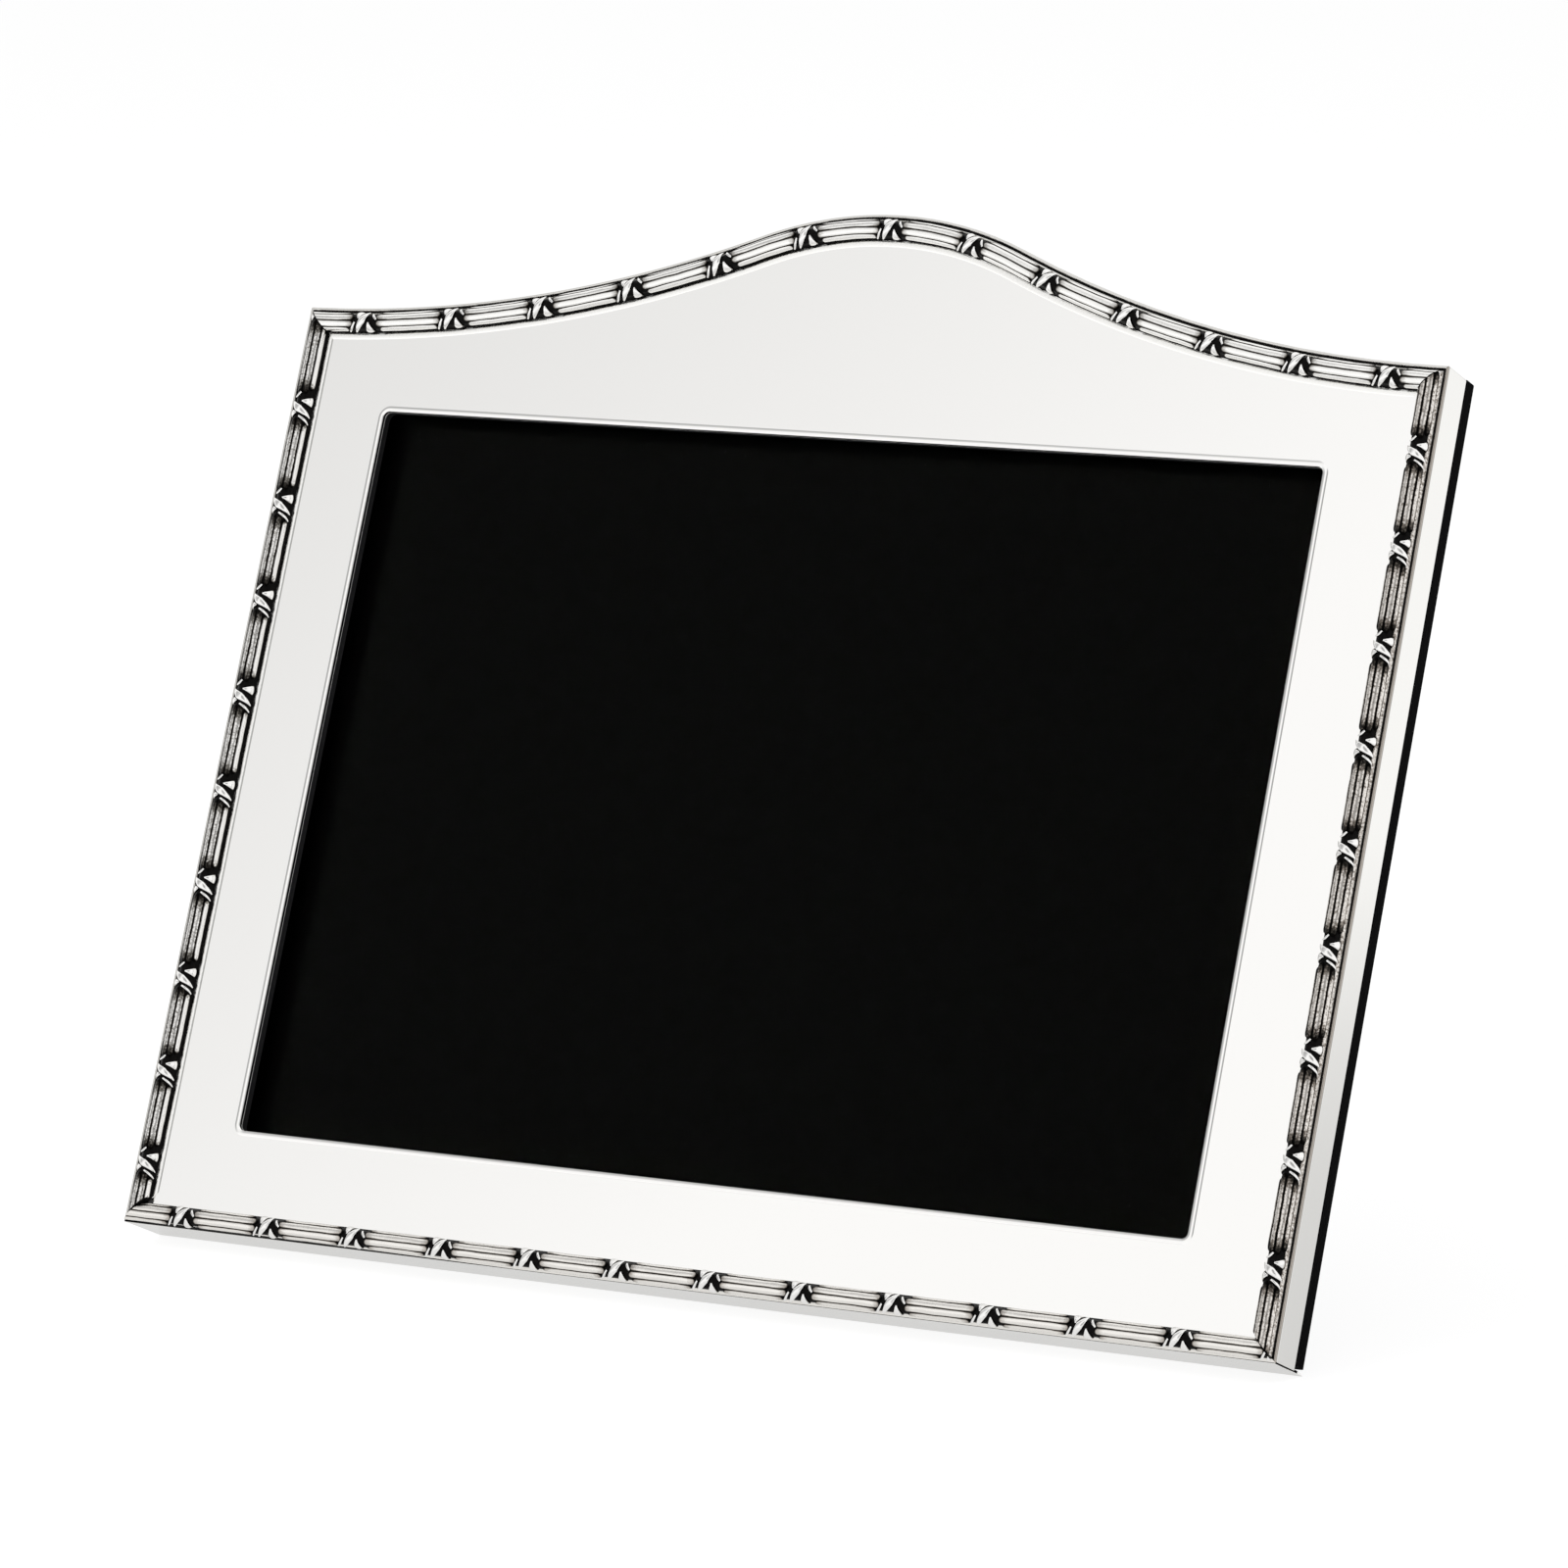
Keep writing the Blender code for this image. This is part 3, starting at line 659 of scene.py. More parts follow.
def dome_flank(side):
    """Radius and turn of the hollow curve between the crest and one shoulder, -1 left, 1 right."""
    run = half_width - side * CREST_SHIFT
    both = (run * run + DOME_RISE * DOME_RISE) / (2 * DOME_RISE)
    return both - CREST_RADIUS, math.asin(run / both)


def dome_points():
    """Points along the domed edge from the right shoulder to the left one."""
    left_radius, left_turn = dome_flank(-1)
    right_radius, right_turn = dome_flank(1)
    points = []
    for step in range(DOME_STEPS):
        angle = right_turn * step / DOME_STEPS
        x = half_width - right_radius * math.sin(angle)
        points.append((x, SHOULDER + right_radius - right_radius * math.cos(angle)))
    for step in range(DOME_STEPS):
        angle = right_turn - (left_turn + right_turn) * step / DOME_STEPS
        x = CREST_SHIFT + CREST_RADIUS * math.sin(angle)
        points.append((x, SHOULDER + DOME_RISE - CREST_RADIUS + CREST_RADIUS * math.cos(angle)))
    for step in range(DOME_STEPS + 1):
        angle = left_turn * (1 - step / DOME_STEPS)
        x = left_radius * math.sin(angle) - half_width
        points.append((x, SHOULDER + left_radius - left_radius * math.cos(angle)))
    return points


# Turns a strip that runs along X so that the bend modifier curls it across
WRAP = Matrix(((0, 1, 0, 0), (0, 0, 1, 0), (1, 0, 0, 0), (0, 0, 0, 1)))


def wrap_round_core(piece):
    """Bends a flat strip, X along and Y across, over the half-round core."""
    piece.data.transform(WRAP)
    places = [vert.co.x for vert in piece.data.vertices]
    width = max(places) - min(places)
    apply_modifier(
        piece, "SIMPLE_DEFORM", deform_method="BEND", deform_axis="Z", angle=-width / CORE_RADIUS
    )
    piece.data.transform(WRAP.inverted())
    piece.data.transform(Matrix.Translation((0, CORE_MIDDLE, CORE_FOOT + CORE_RADIUS)))


def lower_border(piece):
    """Presses a border piece a little flatter above the foot of its core."""
    piece.data.transform(Matrix.Translation((0, 0, -CORE_FOOT)))
    piece.data.transform(Matrix.Diagonal((1, 1, BORDER_LOWNESS, 1)))
    piece.data.transform(Matrix.Translation((0, 0, CORE_FOOT)))


def climb(value, low, high):
    """How far a value is from low to high, from 0 to 1."""
    return min(1, max(0, (value - low) / (high - low)))


def store_crest(piece, worth):
    """Keeps how bright each point is rubbed, from 0 in a groove to 1 on a crest; on the reeds it
    also holds painted shade at their tips.
    """
    attribute = piece.data.attributes.new("crest", "FLOAT", "POINT")
    for vert, value in zip(piece.data.vertices, attribute.data):
        value.value = worth(vert.co)


def make_reed(number, ahead, behind, shine):
    """One reed between two crossings: a square-shouldered rod, drawn in and rounded at its ends."""
    across = number * REED_SPACING
    start = ahead[0] + ahead[1] * abs(across)
    stop = PITCH - behind[0] - behind[1] * abs(across)
    length = stop - start
    bpy.ops.mesh.primitive_cylinder_add(
        vertices=REED_SIDES, radius=REED_WIDTH / 2, depth=length, rotation=(0, math.pi / 2, 0)
    )
    reed = newest("reed")
    bpy.ops.object.transform_apply(location=False, rotation=True, scale=True)
    for vert in reed.data.vertices:
        rise = min(1, abs(vert.co.z) / (REED_WIDTH / 2))
        vert.co.z = math.copysign(rise ** REED_SQUARENESS * REED_HEIGHT, vert.co.z)
    bpy.ops.object.mode_set(mode="EDIT")
    select_parts(reed, "EDGE", lambda middle, edge: abs(middle.x) < NEAR)
    bpy.ops.mesh.subdivide(number_cuts=REED_CUTS)
    for end in (-1, 1):
        select_parts(reed, "FACE", lambda middle, face: middle.x * end > length / 2 - NEAR)
        for shrink, reach in REED_TIP:
            extrude(x=end * reach * MM)
            bpy.ops.transform.resize(value=(1, shrink, shrink), center_override=(0, 0, 0))
    bpy.ops.mesh.select_all(action="SELECT")
    bpy.ops.transform.translate(value=((start + stop) / 2, across, 0))
    bpy.ops.object.mode_set(mode="OBJECT")

    # How bright the reed is rubbed, with painted shade darkening it towards its tips, where it runs
    # under the ribbons
    def worth(co):
        tip = climb(min(co.x - start, stop - co.x), TIP_START, TIP_LENGTH)
        return shine * climb(co.z, *REED_RUBBED) * (1 - TIP_PAINTED_SHADE * (1 - tip))

    store_crest(reed, worth)
    return reed


def make_reeds(ahead, behind, turned):
    """The reeds between two crossings; the turned design's reed nearest the panel is brightest."""
    innermost = (REEDS - 1) / 2
    reeds = []
    for index in range(REEDS):
        number = index - innermost
        shine = INNER_REED_SHINE if turned and number == innermost else 1.0
        reeds.append(make_reed(number, ahead, behind, shine))
    return join("reed_bundle", reeds)


def make_ribbon(name, knots):
    """A ribbon on the flat strip: a lens-shaped section swept along a curve, flaring with it."""
    bpy.ops.curve.primitive_bezier_circle_add(radius=1.0)
    section = newest(name + "_section")
    section.data.resolution_u = RIBBON_SECTION_STEPS
    section.scale = (0.5 * MM, RIBBON_FULLNESS / 2 * MM, 1)
    bpy.ops.object.transform_apply(location=False, rotation=False, scale=True)
    bpy.ops.curve.primitive_bezier_curve_add()
    path = newest(name)
    curve = path.data
    curve.dimensions = "3D"
    curve.twist_mode = "Z_UP"
    curve.resolution_u = RIBBON_LENGTH_STEPS
    curve.bevel_mode = "OBJECT"
    curve.bevel_object = section
    curve.use_fill_caps = True
    spline = curve.splines[0]
    spline.bezier_points.add(len(knots) - 2)
    for knot, (x, y, top, width) in zip(spline.bezier_points, knots):
        knot.handle_left_type = "AUTO"
        knot.handle_right_type = "AUTO"
        knot.co = (x * MM, y * MM, (top - width * RIBBON_FULLNESS / 2) * MM)
        knot.radius = width
    pick(path)
    bpy.ops.object.convert(target="MESH")
    bpy.data.objects.remove(section)
    ribbon = newest(name)
    bpy.ops.object.mode_set(mode="EDIT")
    merge_points(TOUCHING)
    face_outwards()
    for edge in (-1, 1):
        bpy.ops.mesh.select_all(action="SELECT")
        bpy.ops.mesh.bisect(
            plane_co=(0, edge * STRIP_EDGE, 0),
            plane_no=(0, edge, 0),
            clear_outer=True,
            use_fill=True,
        )
    bpy.ops.object.mode_set(mode="OBJECT")
    return ribbon


def make_crossing(way):
    """Where two ribbons cross over the reeds; way is 1, or -1 for the same design turned about."""
    strokes = []
    for number, knots in enumerate(CROSSING):
        turned = [(x * way, y * way, top, width) for x, y, top, width in knots]
        strokes.append(make_ribbon("ribbon_%d" % number, turned))
    crossing = join("ribbon_crossing", strokes)
    store_crest(crossing, lambda co: climb(co.z, *RIBBON_RUBBED))
    return crossing


def run_of(unit, name, count, spacing):
    """Copies of a repeat in a row, with one more at each end.

    The spacing is the place of the first crossing, the pitch and how the pitch grows, in mm.
    """
    first, pitch, growth = spacing
    row = copy_piece(unit, name)
    apply_modifier(
        row,
        "ARRAY",
        count=count + 2,
        use_relative_offset=False,
        use_constant_offset=True,
        constant_offset_displace=(PITCH, 0, 0),
    )
    for vert in row.data.vertices:
        turns = vert.co.x / PITCH - 1
        vert.co.x = (first + pitch * turns + growth * turns * turns) * MM
    return row


def run_continuous(unit, name, length):
    """A section unit repeated end to end, well past both ends of a side."""
    row = run_of(unit, name, math.ceil(length / PITCH), (0, PITCH / MM, 0))
    pick(row)
    bpy.ops.object.mode_set(mode="EDIT")
    merge_points(2 * TOUCHING)
    bpy.ops.object.mode_set(mode="OBJECT")
    return row


def waver(piece):
    """Shifts the points of a run a little across and up and down, the same way each time."""
    along, across, depth = WAVER
    for vert in piece.data.vertices:
        spot = Vector((vert.co.x / along, vert.co.y / across, vert.co.z / across))
        shift = noise.noise_vector(spot) * depth
        vert.co.y += shift.y
        vert.co.z += shift.z


def store_strip_map(piece):
    """A map that runs along the border, in metres, so that streaks follow it round the dome."""
    layer = piece.data.uv_layers.new(name="strip")
    for loop, spot in zip(piece.data.loops, layer.data):
        point = piece.data.vertices[loop.vertex_index].co
        spot.uv = (point.x, point.y + point.z)


def cut_for_bending(piece):
    """In edit mode, cuts the long edges of a unit so that it can follow the dome."""
    select_parts(piece, "EDGE", lambda middle, edge: abs(middle.x - PITCH / 2) < NEAR)
    bpy.ops.mesh.subdivide(number_cuts=BEND_CUTS)


def make_core_unit():
    """The core of the border, as long as one repeat and open at both ends.

    A half-round rod is cut at its foot, drawn down and outwards to the wall and then the ledge
    at its seat, and closed underneath. The outer wall takes the finish of the reeds.
    """
    bpy.ops.mesh.primitive_cylinder_add(
        vertices=CORE_SIDES,
        radius=CORE_RADIUS,
        depth=PITCH,
        end_fill_type="NOTHING",
        rotation=(0, math.pi / 2, 0),
    )
    core = newest("core_unit")
    bpy.ops.object.transform_apply(location=False, rotation=True, scale=True)
    core.data.transform(Matrix.Translation((PITCH / 2, CORE_MIDDLE, CORE_FOOT)))
    seat = CORE_FOOT + (BORDER_SEAT - CORE_FOOT) / BORDER_LOWNESS
    ledge_top = seat + CORE_LEDGE_HEIGHT
    bpy.ops.object.mode_set(mode="EDIT")
    bpy.ops.mesh.select_all(action="SELECT")
    bpy.ops.mesh.bisect(plane_co=(0, 0, CORE_FOOT), plane_no=(0, 0, 1), clear_inner=True)
    select_parts(core, "EDGE", lambda middle, edge: middle.z < CORE_FOOT + NEAR)
    for rise, spread in ((ledge_top - CORE_FOOT, CORE_WALL), (-CORE_LEDGE_HEIGHT, CORE_LEDGE)):
        extrude(z=rise)
        lowest = min(vert.co.z for vert in bmesh.from_edit_mesh(core.data).verts) + NEAR
        for side, reach in spread.items():
            select_parts(
                core, "VERT", lambda co, vert: co.z < lowest and side * (co.y - CORE_MIDDLE) > 0
            )
            bpy.ops.transform.translate(value=(0, side * reach, 0))
        select_parts(
            core,
            "EDGE",
            lambda middle, edge: middle.z < lowest and abs(middle.x - PITCH / 2) < NEAR,
        )
    bpy.ops.mesh.bridge_edge_loops()
    cut_for_bending(core)
    bpy.ops.object.mode_set(mode="OBJECT")
    store_crest(core, lambda co: WALL_RUBBED if co.z > ledge_top - NEAR else FOOT_RUBBED)
    give(core, BLACKENED, LOW_REEDS)
    for face in core.data.polygons:
        outer = face.center.y < CORE_MIDDLE - CORE_RADIUS
        face.material_index = 1 if outer and ledge_top + NEAR < face.center.z < CORE_FOOT else 0
    return core


def make_ledge_unit(name, start, height, section):
    """A plain ledge along the border: its outer wall, the steps of its section, its inner wall."""
    bpy.ops.mesh.primitive_plane_add(size=1)
    ledge = newest(name)
    ledge.data.transform(Matrix.Translation((0.5, 0.5, 0)))
    ledge.data.transform(Matrix.Diagonal((PITCH, LEDGE_START, 1, 1)))
    ledge.data.transform(Matrix.Translation((0, start, height)))
    inner = start + LEDGE_START
    bpy.ops.object.mode_set(mode="EDIT")
    for width, rise in section:
        select_parts(ledge, "EDGE", lambda middle, edge: middle.y > inner - TOUCHING)
        extrude(y=width * MM, z=rise * MM)
        inner += width * MM
    middle_line = (start + inner) / 2
    half = (inner - start) / 2
    falls = {-1: height, 1: height + sum(rise for width, rise in section) * MM}
    for side, fall in falls.items():
        select_parts(
            ledge, "EDGE", lambda middle, edge: side * (middle.y - middle_line) > half - TOUCHING
        )
        extrude(z=-fall)
    select_parts(ledge, "EDGE", lambda middle, edge: abs(middle.z) < TOUCHING)
    bpy.ops.mesh.bridge_edge_loops()
    cut_for_bending(ledge)
    face_outwards()
    bpy.ops.object.mode_set(mode="OBJECT")
    store_crest(ledge, lambda co: LEDGE_RUBBED)
    return ledge


def follow_dome(piece, points):
    """Bends a straight run along the domed edge, from the right shoulder to the left one."""
    curve = bpy.data.curves.new("dome_edge", "CURVE")
    curve.dimensions = "2D"
    spline = curve.splines.new("POLY")
    spline.points.add(len(points) - 1)
    for knot, (x, y) in zip(spline.points, points):
        knot.co = (x, y, 0, 1)
    guide = bpy.data.objects.new("dome_edge", curve)
    bpy.context.scene.collection.objects.link(guide)
    apply_modifier(piece, "CURVE", object=guide, deform_axis="POS_X")
    bpy.data.objects.remove(guide)


def cut_ends(piece, cuts, gap):
    """Cuts a run off at its cuts, each a place and the direction that is kept, and closes it."""
    pick(piece)
    bpy.ops.object.mode_set(mode="EDIT")
    for place, keep in cuts:
        normal = Vector((-keep[0], -keep[1], 0)).normalized()
        spot = Vector((place[0], place[1], 0)) - normal * gap
        bpy.ops.mesh.select_all(action="SELECT")
        bpy.ops.mesh.bisect(plane_co=spot, plane_no=normal, clear_outer=True, threshold=TOUCHING)
    bpy.ops.mesh.select_all(action="SELECT")
    bpy.ops.mesh.fill_holes(sides=0)
    bpy.ops.object.mode_set(mode="OBJECT")


# The four lengths, each run round the frame anticlockwise with the panel on its left. A start and a
# turn in degrees place a straight one, and the top follows the dome. Way is how the crossings are
# turned, and spacing where they stand: the first, the pitch and its growth in mm. The finishes are
# those of reeds, fillet and flange, and the cuts are the mitres with the side of each that is kept.
LOW_LEFT, LOW_RIGHT = (-half_width, 0), (half_width, 0)
HIGH_LEFT, HIGH_RIGHT = (-half_width, SHOULDER), (half_width, SHOULDER)
DOME = dome_points()
LENGTHS = {
    "bottom": {
        "start": LOW_LEFT,
        "turn": 0,
        "length": 2 * half_width,
        "way": 1,
        "spacing": (14.1, 18.24, 0.0),
        "finishes": (LOW_REEDS, None, None),
        "cuts": ((LOW_LEFT, (1, -1)), (LOW_RIGHT, (-1, -1)), ((0, BOTTOM_EDGE), (0, 1))),
    },
    "right": {
        "start": LOW_RIGHT,
        "turn": 90,
        "length": SHOULDER,
        "way": 1,
        "spacing": (16.6, 18.675, -0.0875),
        "finishes": (RIGHT_REEDS, TONED_FILLET, None),
        "cuts": ((LOW_RIGHT, (1, 1)), (HIGH_RIGHT, (1, -1))),
    },
    "top": {
        "start": None,
        "turn": 0,
        "length": sum((Vector(b) - Vector(a)).length for a, b in zip(DOME, DOME[1:])),
        "way": -1,
        "spacing": (9.5, 17.092, 0.0625),
        "finishes": (TOP_REEDS, FILLET_SILVER, FLANGE_SILVER),
        "cuts": ((HIGH_RIGHT, (-1, 1)), (HIGH_LEFT, (1, 1))),
    },
    "left": {
        "start": HIGH_LEFT,
        "turn": -90,
        "length": SHOULDER,
        "way": -1,
        "spacing": (18.9, 18.9, -0.106),
        "finishes": (LEFT_REEDS, FILLET_SILVER, FLANGE_SILVER),
        "cuts": ((HIGH_LEFT, (-1, -1)), (LOW_LEFT, (-1, 1))),
    },
}


def make_length(name, plan, core, ledges, reeds, ribbons):
    """One length of the border: its runs are worked, bent or turned into place, cut and joined."""
    count = math.ceil(plan["length"] / (plan["spacing"][1] * MM)) + 1
    silver, *ledge_silvers = plan["finishes"]
    worked = [
        run_of(unit, part + name, count, plan["spacing"])
        for unit, part in ((reeds, "reeds_"), (ribbons, "ribbons_"))
    ]
    runs = [
        (worked[0], (silver,), MITRE_GAP),
        (worked[1], (RIBBON_SILVER,), MITRE_GAP),
        (run_continuous(core, "core_" + name, plan["length"]), (BLACKENED, silver), 0.0),
    ]
    for unit, finish in zip(ledges, ledge_silvers):
        if finish:
            ledge = run_continuous(unit, unit.name + "_" + name, plan["length"])
            runs.append((ledge, (finish,), EDGE_GAP))
    for piece, materials, gap in runs:
        if piece in worked:
            waver(piece)
        store_strip_map(piece)
        if name == "bottom":
            piece.data.transform(Matrix.Diagonal((1, 1, BOTTOM_LOWNESS, 1)))
            piece.data.transform(Matrix.Translation((0, BOTTOM_SHIFT, 0)))
        if plan["start"]:
            spot = Matrix.Translation((*plan["start"], 0))
            turn = Matrix.Rotation(math.radians(plan["turn"]), 4, "Z")
            piece.data.transform(spot @ turn)
        else:
            follow_dome(piece, DOME)
        cut_ends(piece, plan["cuts"], gap)
        give(piece, *materials)
    border = join("border_" + name, [piece for piece, materials, gap in runs])
    border.data.transform(face_to_world)
    smooth(border, degrees=50)
    fit(border, "frame", "cast_silver", "moulding_" + name)


def make_border():
    """The repeats of the border, and the four lengths made from them."""
    core = make_core_unit()
    ledges = make_ledge_unit("fillet_unit", *FILLET), make_ledge_unit("flange_unit", *FLANGE)
    designs = {}
    for way, ahead, behind in ((1, NEAR_END, FAR_END), (-1, FAR_END, NEAR_END)):
        designs[way] = make_reeds(ahead, behind, way < 0), make_crossing(way)
        for unit in designs[way]:
            wrap_round_core(unit)
    for unit in (core, *designs[1], *designs[-1]):
        lower_border(unit)
    for name, plan in LENGTHS.items():
        make_length(name, plan, core, ledges, *designs[plan["way"]])
    for unit in (core, *ledges, *designs[1], *designs[-1]):
        bpy.data.objects.remove(unit)


make_border()


# Silver front: a flat sheet, and the bead soldered round its window


def make_sheet():
    """The sheet is the node's own, without its plain bead and closed again round the window."""
    sheet = copy_piece(frame["nodes"]["front_panel"], "front_panel_finish")
    sheet.data.transform(to_face)
    pick(sheet)
    bpy.ops.object.mode_set(mode="EDIT")
    merge_points(TOUCHING)
    bpy.ops.mesh.dissolve_limited(angle_limit=FLAT)
    select_parts(sheet, "VERT", lambda co, vert: co.z > 2 * NEAR)
    bpy.ops.mesh.delete(type="VERT")
    bpy.ops.mesh.select_mode(type="EDGE")
    bpy.ops.mesh.select_non_manifold(extend=False)
    bpy.ops.mesh.bridge_edge_loops()
    bpy.ops.object.mode_set(mode="OBJECT")
    bpy.ops.object.shade_flat()
    give(sheet, PANEL_SILVER)
    sheet.data.transform(face_to_world)
    fit(sheet, "frame", "polished_silver", "front_panel")


def make_bead():
    """The bead is inset from its outer foot over its crown, and walled down towards the board."""
    outer = WINDOW_WIDTH + 2 * BEAD_WIDTH, WINDOW_HEIGHT + 2 * BEAD_WIDTH
    bpy.ops.mesh.primitive_plane_add(size=1)
    bead = newest("window_bead")
    bead.data.transform(Matrix.Diagonal((*outer, 1, 1)))
    bead.data.transform(Matrix.Translation((0, WINDOW_MIDDLE, BEAD_FOOT)))
    bpy.ops.object.mode_set(mode="EDIT")
    bpy.ops.mesh.select_all(action="SELECT")
    bpy.ops.mesh.bevel(
        offset=WINDOW_CORNER + BEAD_WIDTH, segments=CORNER_STEPS, affect="VERTICES", profile=0.5
    )
    bpy.ops.mesh.select_mode(type="FACE")
    bpy.ops.mesh.select_all(action="SELECT")
    for step in range(BEAD_STEPS):
        before, after = math.pi * step / BEAD_STEPS, math.pi * (step + 1) / BEAD_STEPS
        rise = BEAD_HEIGHT * (math.sin(after) - math.sin(before))
        bpy.ops.mesh.inset(thickness=BEAD_WIDTH / BEAD_STEPS, depth=rise)
    bpy.ops.mesh.inset(thickness=TOUCHING, depth=BEAD_WALL - BEAD_FOOT)
    bpy.ops.mesh.delete(type="FACE")
    select_parts(
        bead,
        "EDGE",
        lambda middle, edge: edge.is_boundary and abs(middle.z - BEAD_FOOT) < TOUCHING,
    )
    extrude(z=BEAD_WALL - BEAD_FOOT)
    bpy.ops.mesh.select_non_manifold(extend=False)
    bpy.ops.mesh.bridge_edge_loops()
    face_outwards()
    bpy.ops.object.mode_set(mode="OBJECT")
    give(bead, BEAD_SILVER)
    smooth(bead, degrees=55)
    bead.data.transform(face_to_world)
    fit(bead, "frame", "polished_silver")


make_sheet()
make_bead()


# Pieces that keep the shape the part gives them, with their edges eased


def dress(node, material, slot, ease=0.0, steps=2, angle=40):
    """A piece made from a node's own mesh: merged, its edges eased, smooth where it is round.

    Ease is the width of the eased edges in mm, and edges sharper than the angle are eased.
    """
    source = frame["nodes"][node]
    piece = copy_piece(source, node + "_finish")
    pick(piece)
    bpy.ops.object.mode_set(mode="EDIT")
    merge_points(TOUCHING)
    bpy.ops.mesh.dissolve_limited(angle_limit=FLAT)
    bpy.ops.object.mode_set(mode="OBJECT")
    if ease:
        apply_modifier(
            piece,
            "BEVEL",
            width=ease * MM,
            segments=steps,
            limit_method="ANGLE",
            angle_limit=math.radians(angle),
        )
    smooth(piece, angle)
    apply_modifier(piece, "WEIGHTED_NORMAL", keep_sharp=True)
    give(piece, material)
    fit(piece, source["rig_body"], slot, node)
    return piece


# Slots of the board's finishes, and how far a face has to look back to be part of its rear, whose
# velvet is painted lighter: painted light
LINED, PAINTED_LIGHT_BACK = 1, 2
LOOKS_BACK = -0.5


def line_board(board):
    """Paints the board's rear lighter (painted light), its edge darker (painted shade), and lines
    its opening's walls with paper.
    """
    give(board, EDGE_PILE_PAINTED_SHADE, EDGE_PAPER, BACK_PILE_PAINTED_LIGHT)
    for face in board.data.polygons:
        spot = to_face @ face.center
        if (to_face.to_3x3() @ face.normal).z < LOOKS_BACK:
            face.material_index = PAINTED_LIGHT_BACK
        beside = abs(spot.x) < WINDOW_WIDTH / 2 + BEAD_WIDTH
        level = abs(spot.y - WINDOW_MIDDLE) < WINDOW_HEIGHT / 2 + BEAD_WIDTH
        if beside and level and LIP_BASE < spot.z < LIP_TOP:
            face.material_index = LINED


for band_side in ("bottom", "left", "right", "top"):
    dress("side_band_" + band_side, BAND_SILVER, "polished_silver", ease=0.12, angle=30)
# The board's edge gets the velvet painted darker (painted shade); its rear, door and strut the same
# velvet painted lighter (painted light)
line_board(dress("back_board", EDGE_PILE_PAINTED_SHADE, "velvet_board", ease=0.25, steps=3))
dress("back_door", BACK_PILE_PAINTED_LIGHT, "velvet_board", ease=0.5, steps=3)
dress("strut_leg", BACK_PILE_PAINTED_LIGHT, "velvet_board", ease=0.3, steps=3)
dress("glass_pane", GLASS, "clear_glass", ease=0.1, steps=1)
dress("print_insert", INSERT, "black_paper")
dress("backing_card", CARD, "grey_card")
for node_name in frame["nodes"]:
    if node_name.startswith("turn_button") or node_name in ("hinge_door_leaf", "hinge_strut_leaf"):
        dress(node_name, BRASS, "brass", ease=0.12)
    if "screw" in node_name or node_name == "hinge_pin":
        dress(node_name, STEEL, "steel", ease=0.1, angle=50)


# Camera, as the photograph was taken

CAMERA_SPOT = Vector((0.6171, -1.14525, 0.29168))
CAMERA_PAN = math.radians(28.66)
CAMERA_TILT = math.radians(-8.956)
CAMERA_LENS = 167.8
CAMERA_SENSOR = 36.0
CAMERA_REACH = 100

camera = bpy.data.objects.new("camera", bpy.data.cameras.new("camera"))
bpy.context.scene.collection.objects.link(camera)
camera.location = CAMERA_SPOT
camera.rotation_euler = (math.pi / 2 + CAMERA_TILT, 0, CAMERA_PAN)
camera.data.lens = CAMERA_LENS
camera.data.sensor_width = CAMERA_SENSOR
camera.data.clip_end = CAMERA_REACH
bpy.context.scene.camera = camera


# Floor and light

FLOOR_SIZE = 30.0
FLOOR_GLOW = 0.80
FLOOR_PALE = 0.33

# The metal sees the floor greyer near the frame, which stands in its own shade: radii, and level
FLOOR_SHADE = 0.16, 0.62
FLOOR_SHADE_LEVEL = 0.75

# What the metal sees in front of the frame: a white room that greys to the left and above
ROOM_SIDE_SLOPE = 1.5
ROOM_UP_SLOPE = -1.0
ROOM_LEVEL = 0.93 + 0.48 * ROOM_SIDE_SLOPE - 0.19 * ROOM_UP_SLOPE
ROOM_DARKEST = 0.40

# Where the room turns to plain white beside and behind the frame, as the Y of the direction
ROOM_TURN = -0.30, 0.05

# A dim patch of the room, where the photographer stands: direction, level, soft edge as cosines
DIM_PATCH = Vector((0.36, -0.77, 0.53)).normalized()
DIM_LEVEL = 0.35
DIM_EDGE = 0.90, 0.98

# Level of the light that falls on matt surfaces from all round
PLAIN_LEVEL = 0.55

# Soft boxes: place and size in metres, and watts
LAMPS = {
    "key_box": ((-1.2, -1.6, 1.6), 1.6, 26),
    "fill_box": ((1.6, 0.6, 1.6), 1.6, 14),
}
LAMP_AIM = Vector((0, 0, 0.1))

bpy.ops.mesh.primitive_plane_add(size=FLOOR_SIZE)
floor = newest("floor")


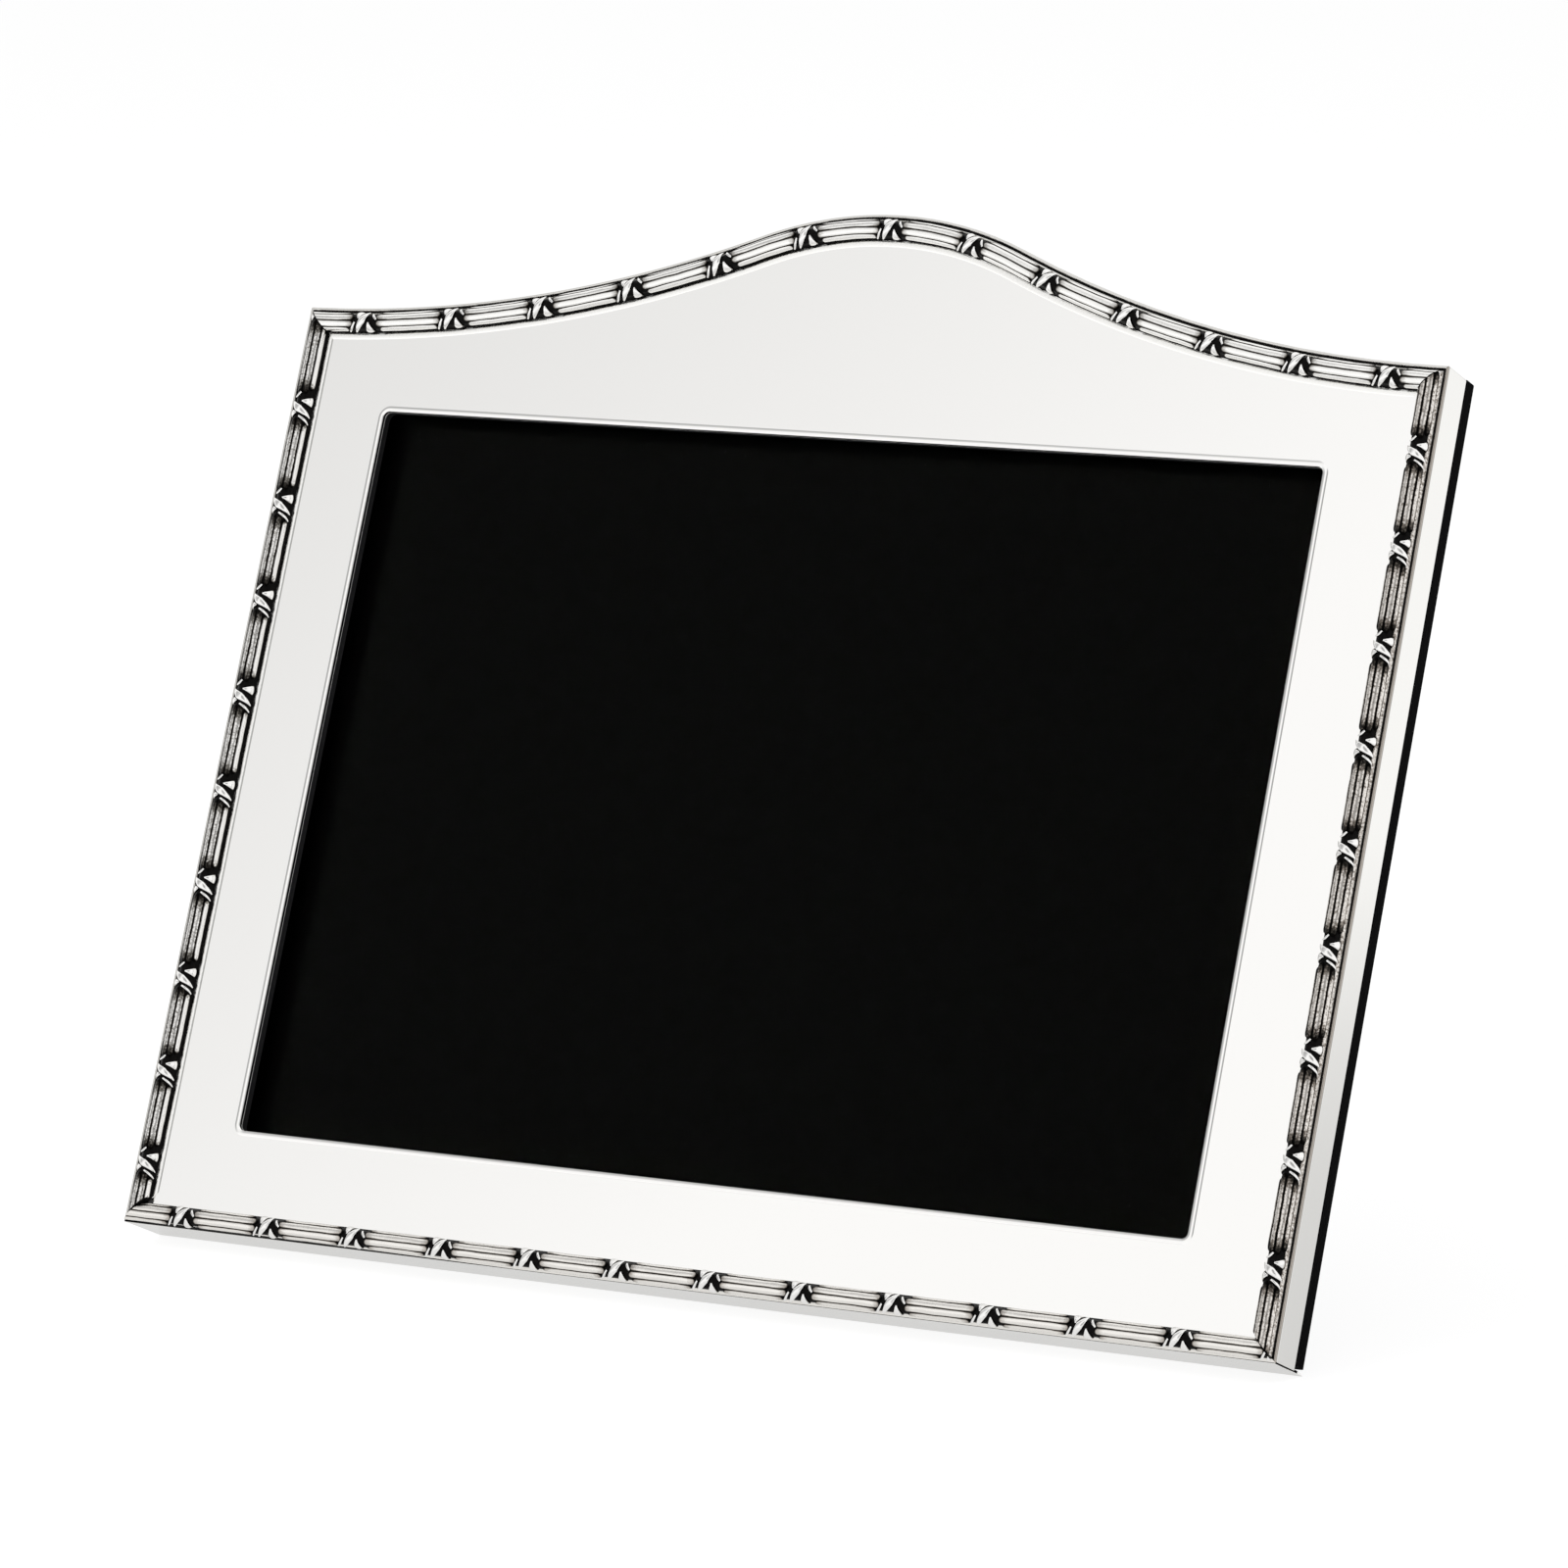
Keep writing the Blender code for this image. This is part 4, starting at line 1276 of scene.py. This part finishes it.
def floor_material():
    """Matt white paper; camera and metal see it at its lit white, with the object's shadow kept."""
    material, tree, shader = new_material(
        "white_paper_sweep",
        {"Base Color": linear("#f4f4f4"), "Roughness": 0.9, "Specular IOR Level": 0.0},
    )
    paths = add_node(tree, "ShaderNodeLightPath").outputs
    seen = paths["Is Camera Ray"]
    for kind in ("Is Glossy Ray", "Is Transmission Ray"):
        seen = add_node(
            tree, "ShaderNodeMath", {"operation": "MAXIMUM"}, {0: seen, 1: paths[kind]}
        ).outputs["Value"]
    place = add_node(tree, "ShaderNodeTexCoord").outputs["Object"]
    reach = add_node(tree, "ShaderNodeVectorMath", {"operation": "LENGTH"}, {0: place})
    shade = add_node(
        tree,
        "ShaderNodeMapRange",
        {"interpolation_type": "SMOOTHSTEP"},
        {
            "Value": reach.outputs["Value"],
            "From Min": FLOOR_SHADE[0],
            "From Max": FLOOR_SHADE[1],
            "To Min": FLOOR_SHADE_LEVEL,
        },
    )
    shade = add_node(
        tree,
        "ShaderNodeMix",
        {"data_type": "FLOAT"},
        {0: paths["Is Glossy Ray"], 2: 1.0, 3: shade.outputs["Result"]},
    )
    strength, paleness = [
        add_node(tree, "ShaderNodeMath", {"operation": "MULTIPLY"}, {0: shade.outputs[0], 1: level})
        for level in (FLOOR_GLOW, FLOOR_PALE)
    ]
    glow = add_node(
        tree, "ShaderNodeEmission", inputs={"Strength": strength.outputs["Value"]}
    )
    pale = add_node(
        tree, "ShaderNodeBsdfDiffuse", inputs={"Color": paleness.outputs["Value"]}
    )
    lit = add_node(
        tree, "ShaderNodeAddShader", inputs={0: glow.outputs["Emission"], 1: pale.outputs["BSDF"]}
    )
    mix = add_node(
        tree,
        "ShaderNodeMixShader",
        inputs={0: seen, 1: shader.outputs["BSDF"], 2: lit.outputs["Shader"]},
    )
    tree.links.new(mix.outputs["Shader"], tree.nodes["Material Output"].inputs["Surface"])
    return material


give(floor, floor_material())


def world_light():
    """A white studio: plain light for matt surfaces, and the greying white room for metal."""
    world = bpy.data.worlds.new("white_studio")
    world.use_nodes = True
    bpy.context.scene.world = world
    tree = world.node_tree
    background = tree.nodes["Background"]
    background.inputs["Color"].default_value = (1, 1, 1, 1)
    direction = add_node(tree, "ShaderNodeTexCoord").outputs["Generated"]
    parts = add_node(tree, "ShaderNodeSeparateXYZ", inputs={"Vector": direction}).outputs
    up_face = (face_turn @ Vector((0, 1, 0))).to_tuple()
    upward, toward = [
        add_node(
            tree, "ShaderNodeVectorMath", {"operation": "DOT_PRODUCT"}, {0: direction, 1: heading}
        ).outputs["Value"]
        for heading in (up_face, DIM_PATCH.to_tuple())
    ]
    before = ROOM_LEVEL
    for way, slope in ((parts["X"], ROOM_SIDE_SLOPE), (upward, ROOM_UP_SLOPE)):
        before = add_node(
            tree, "ShaderNodeMath", {"operation": "MULTIPLY_ADD"}, {0: way, 1: slope, 2: before}
        ).outputs["Value"]
    before = add_node(
        tree, "ShaderNodeClamp", inputs={"Value": before, "Min": ROOM_DARKEST, "Max": 1.0}
    ).outputs["Result"]
    dim, behind = [
        add_node(
            tree,
            "ShaderNodeMapRange",
            {"interpolation_type": "SMOOTHSTEP"},
            {"Value": value, "From Min": start, "From Max": stop},
        ).outputs["Result"]
        for value, (start, stop) in ((toward, DIM_EDGE), (parts["Y"], ROOM_TURN))
    ]
    paths = add_node(tree, "ShaderNodeLightPath").outputs
    seen = add_node(
        tree,
        "ShaderNodeMath",
        {"operation": "MAXIMUM"},
        {0: paths["Is Camera Ray"], 1: paths["Is Transmission Ray"]},
    ).outputs["Value"]

    # The dim patch is put on the room in front, the white room behind it, and the metal alone sees
    # them: matt surfaces get the plain level, and the camera sees white
    level = before
    for share, low, high in (
        (dim, None, DIM_LEVEL),
        (behind, None, 1.0),
        (paths["Is Glossy Ray"], PLAIN_LEVEL, None),
        (seen, None, 1.0),
    ):
        level = add_node(
            tree,
            "ShaderNodeMix",
            {"data_type": "FLOAT"},
            {0: share, 2: level if low is None else low, 3: level if high is None else high},
        ).outputs[0]
    tree.links.new(level, background.inputs["Strength"])


world_light()


def soft_lamp(name, spot, size, watts):
    """A soft box aimed at the middle of the frame; the metal shows the white room instead of it."""
    lamp = bpy.data.objects.new(name, bpy.data.lights.new(name, "AREA"))
    bpy.context.scene.collection.objects.link(lamp)
    lamp.data.size = size
    lamp.data.energy = watts
    lamp.location = spot
    aim = LAMP_AIM - Vector(spot)
    lamp.rotation_euler = aim.to_track_quat("-Z", "Y").to_euler()
    lamp.visible_glossy = False
    lamp.visible_camera = False


for lamp_name, settings in LAMPS.items():
    soft_lamp(lamp_name, *settings)

bpy.context.scene.view_settings.view_transform = "Standard"
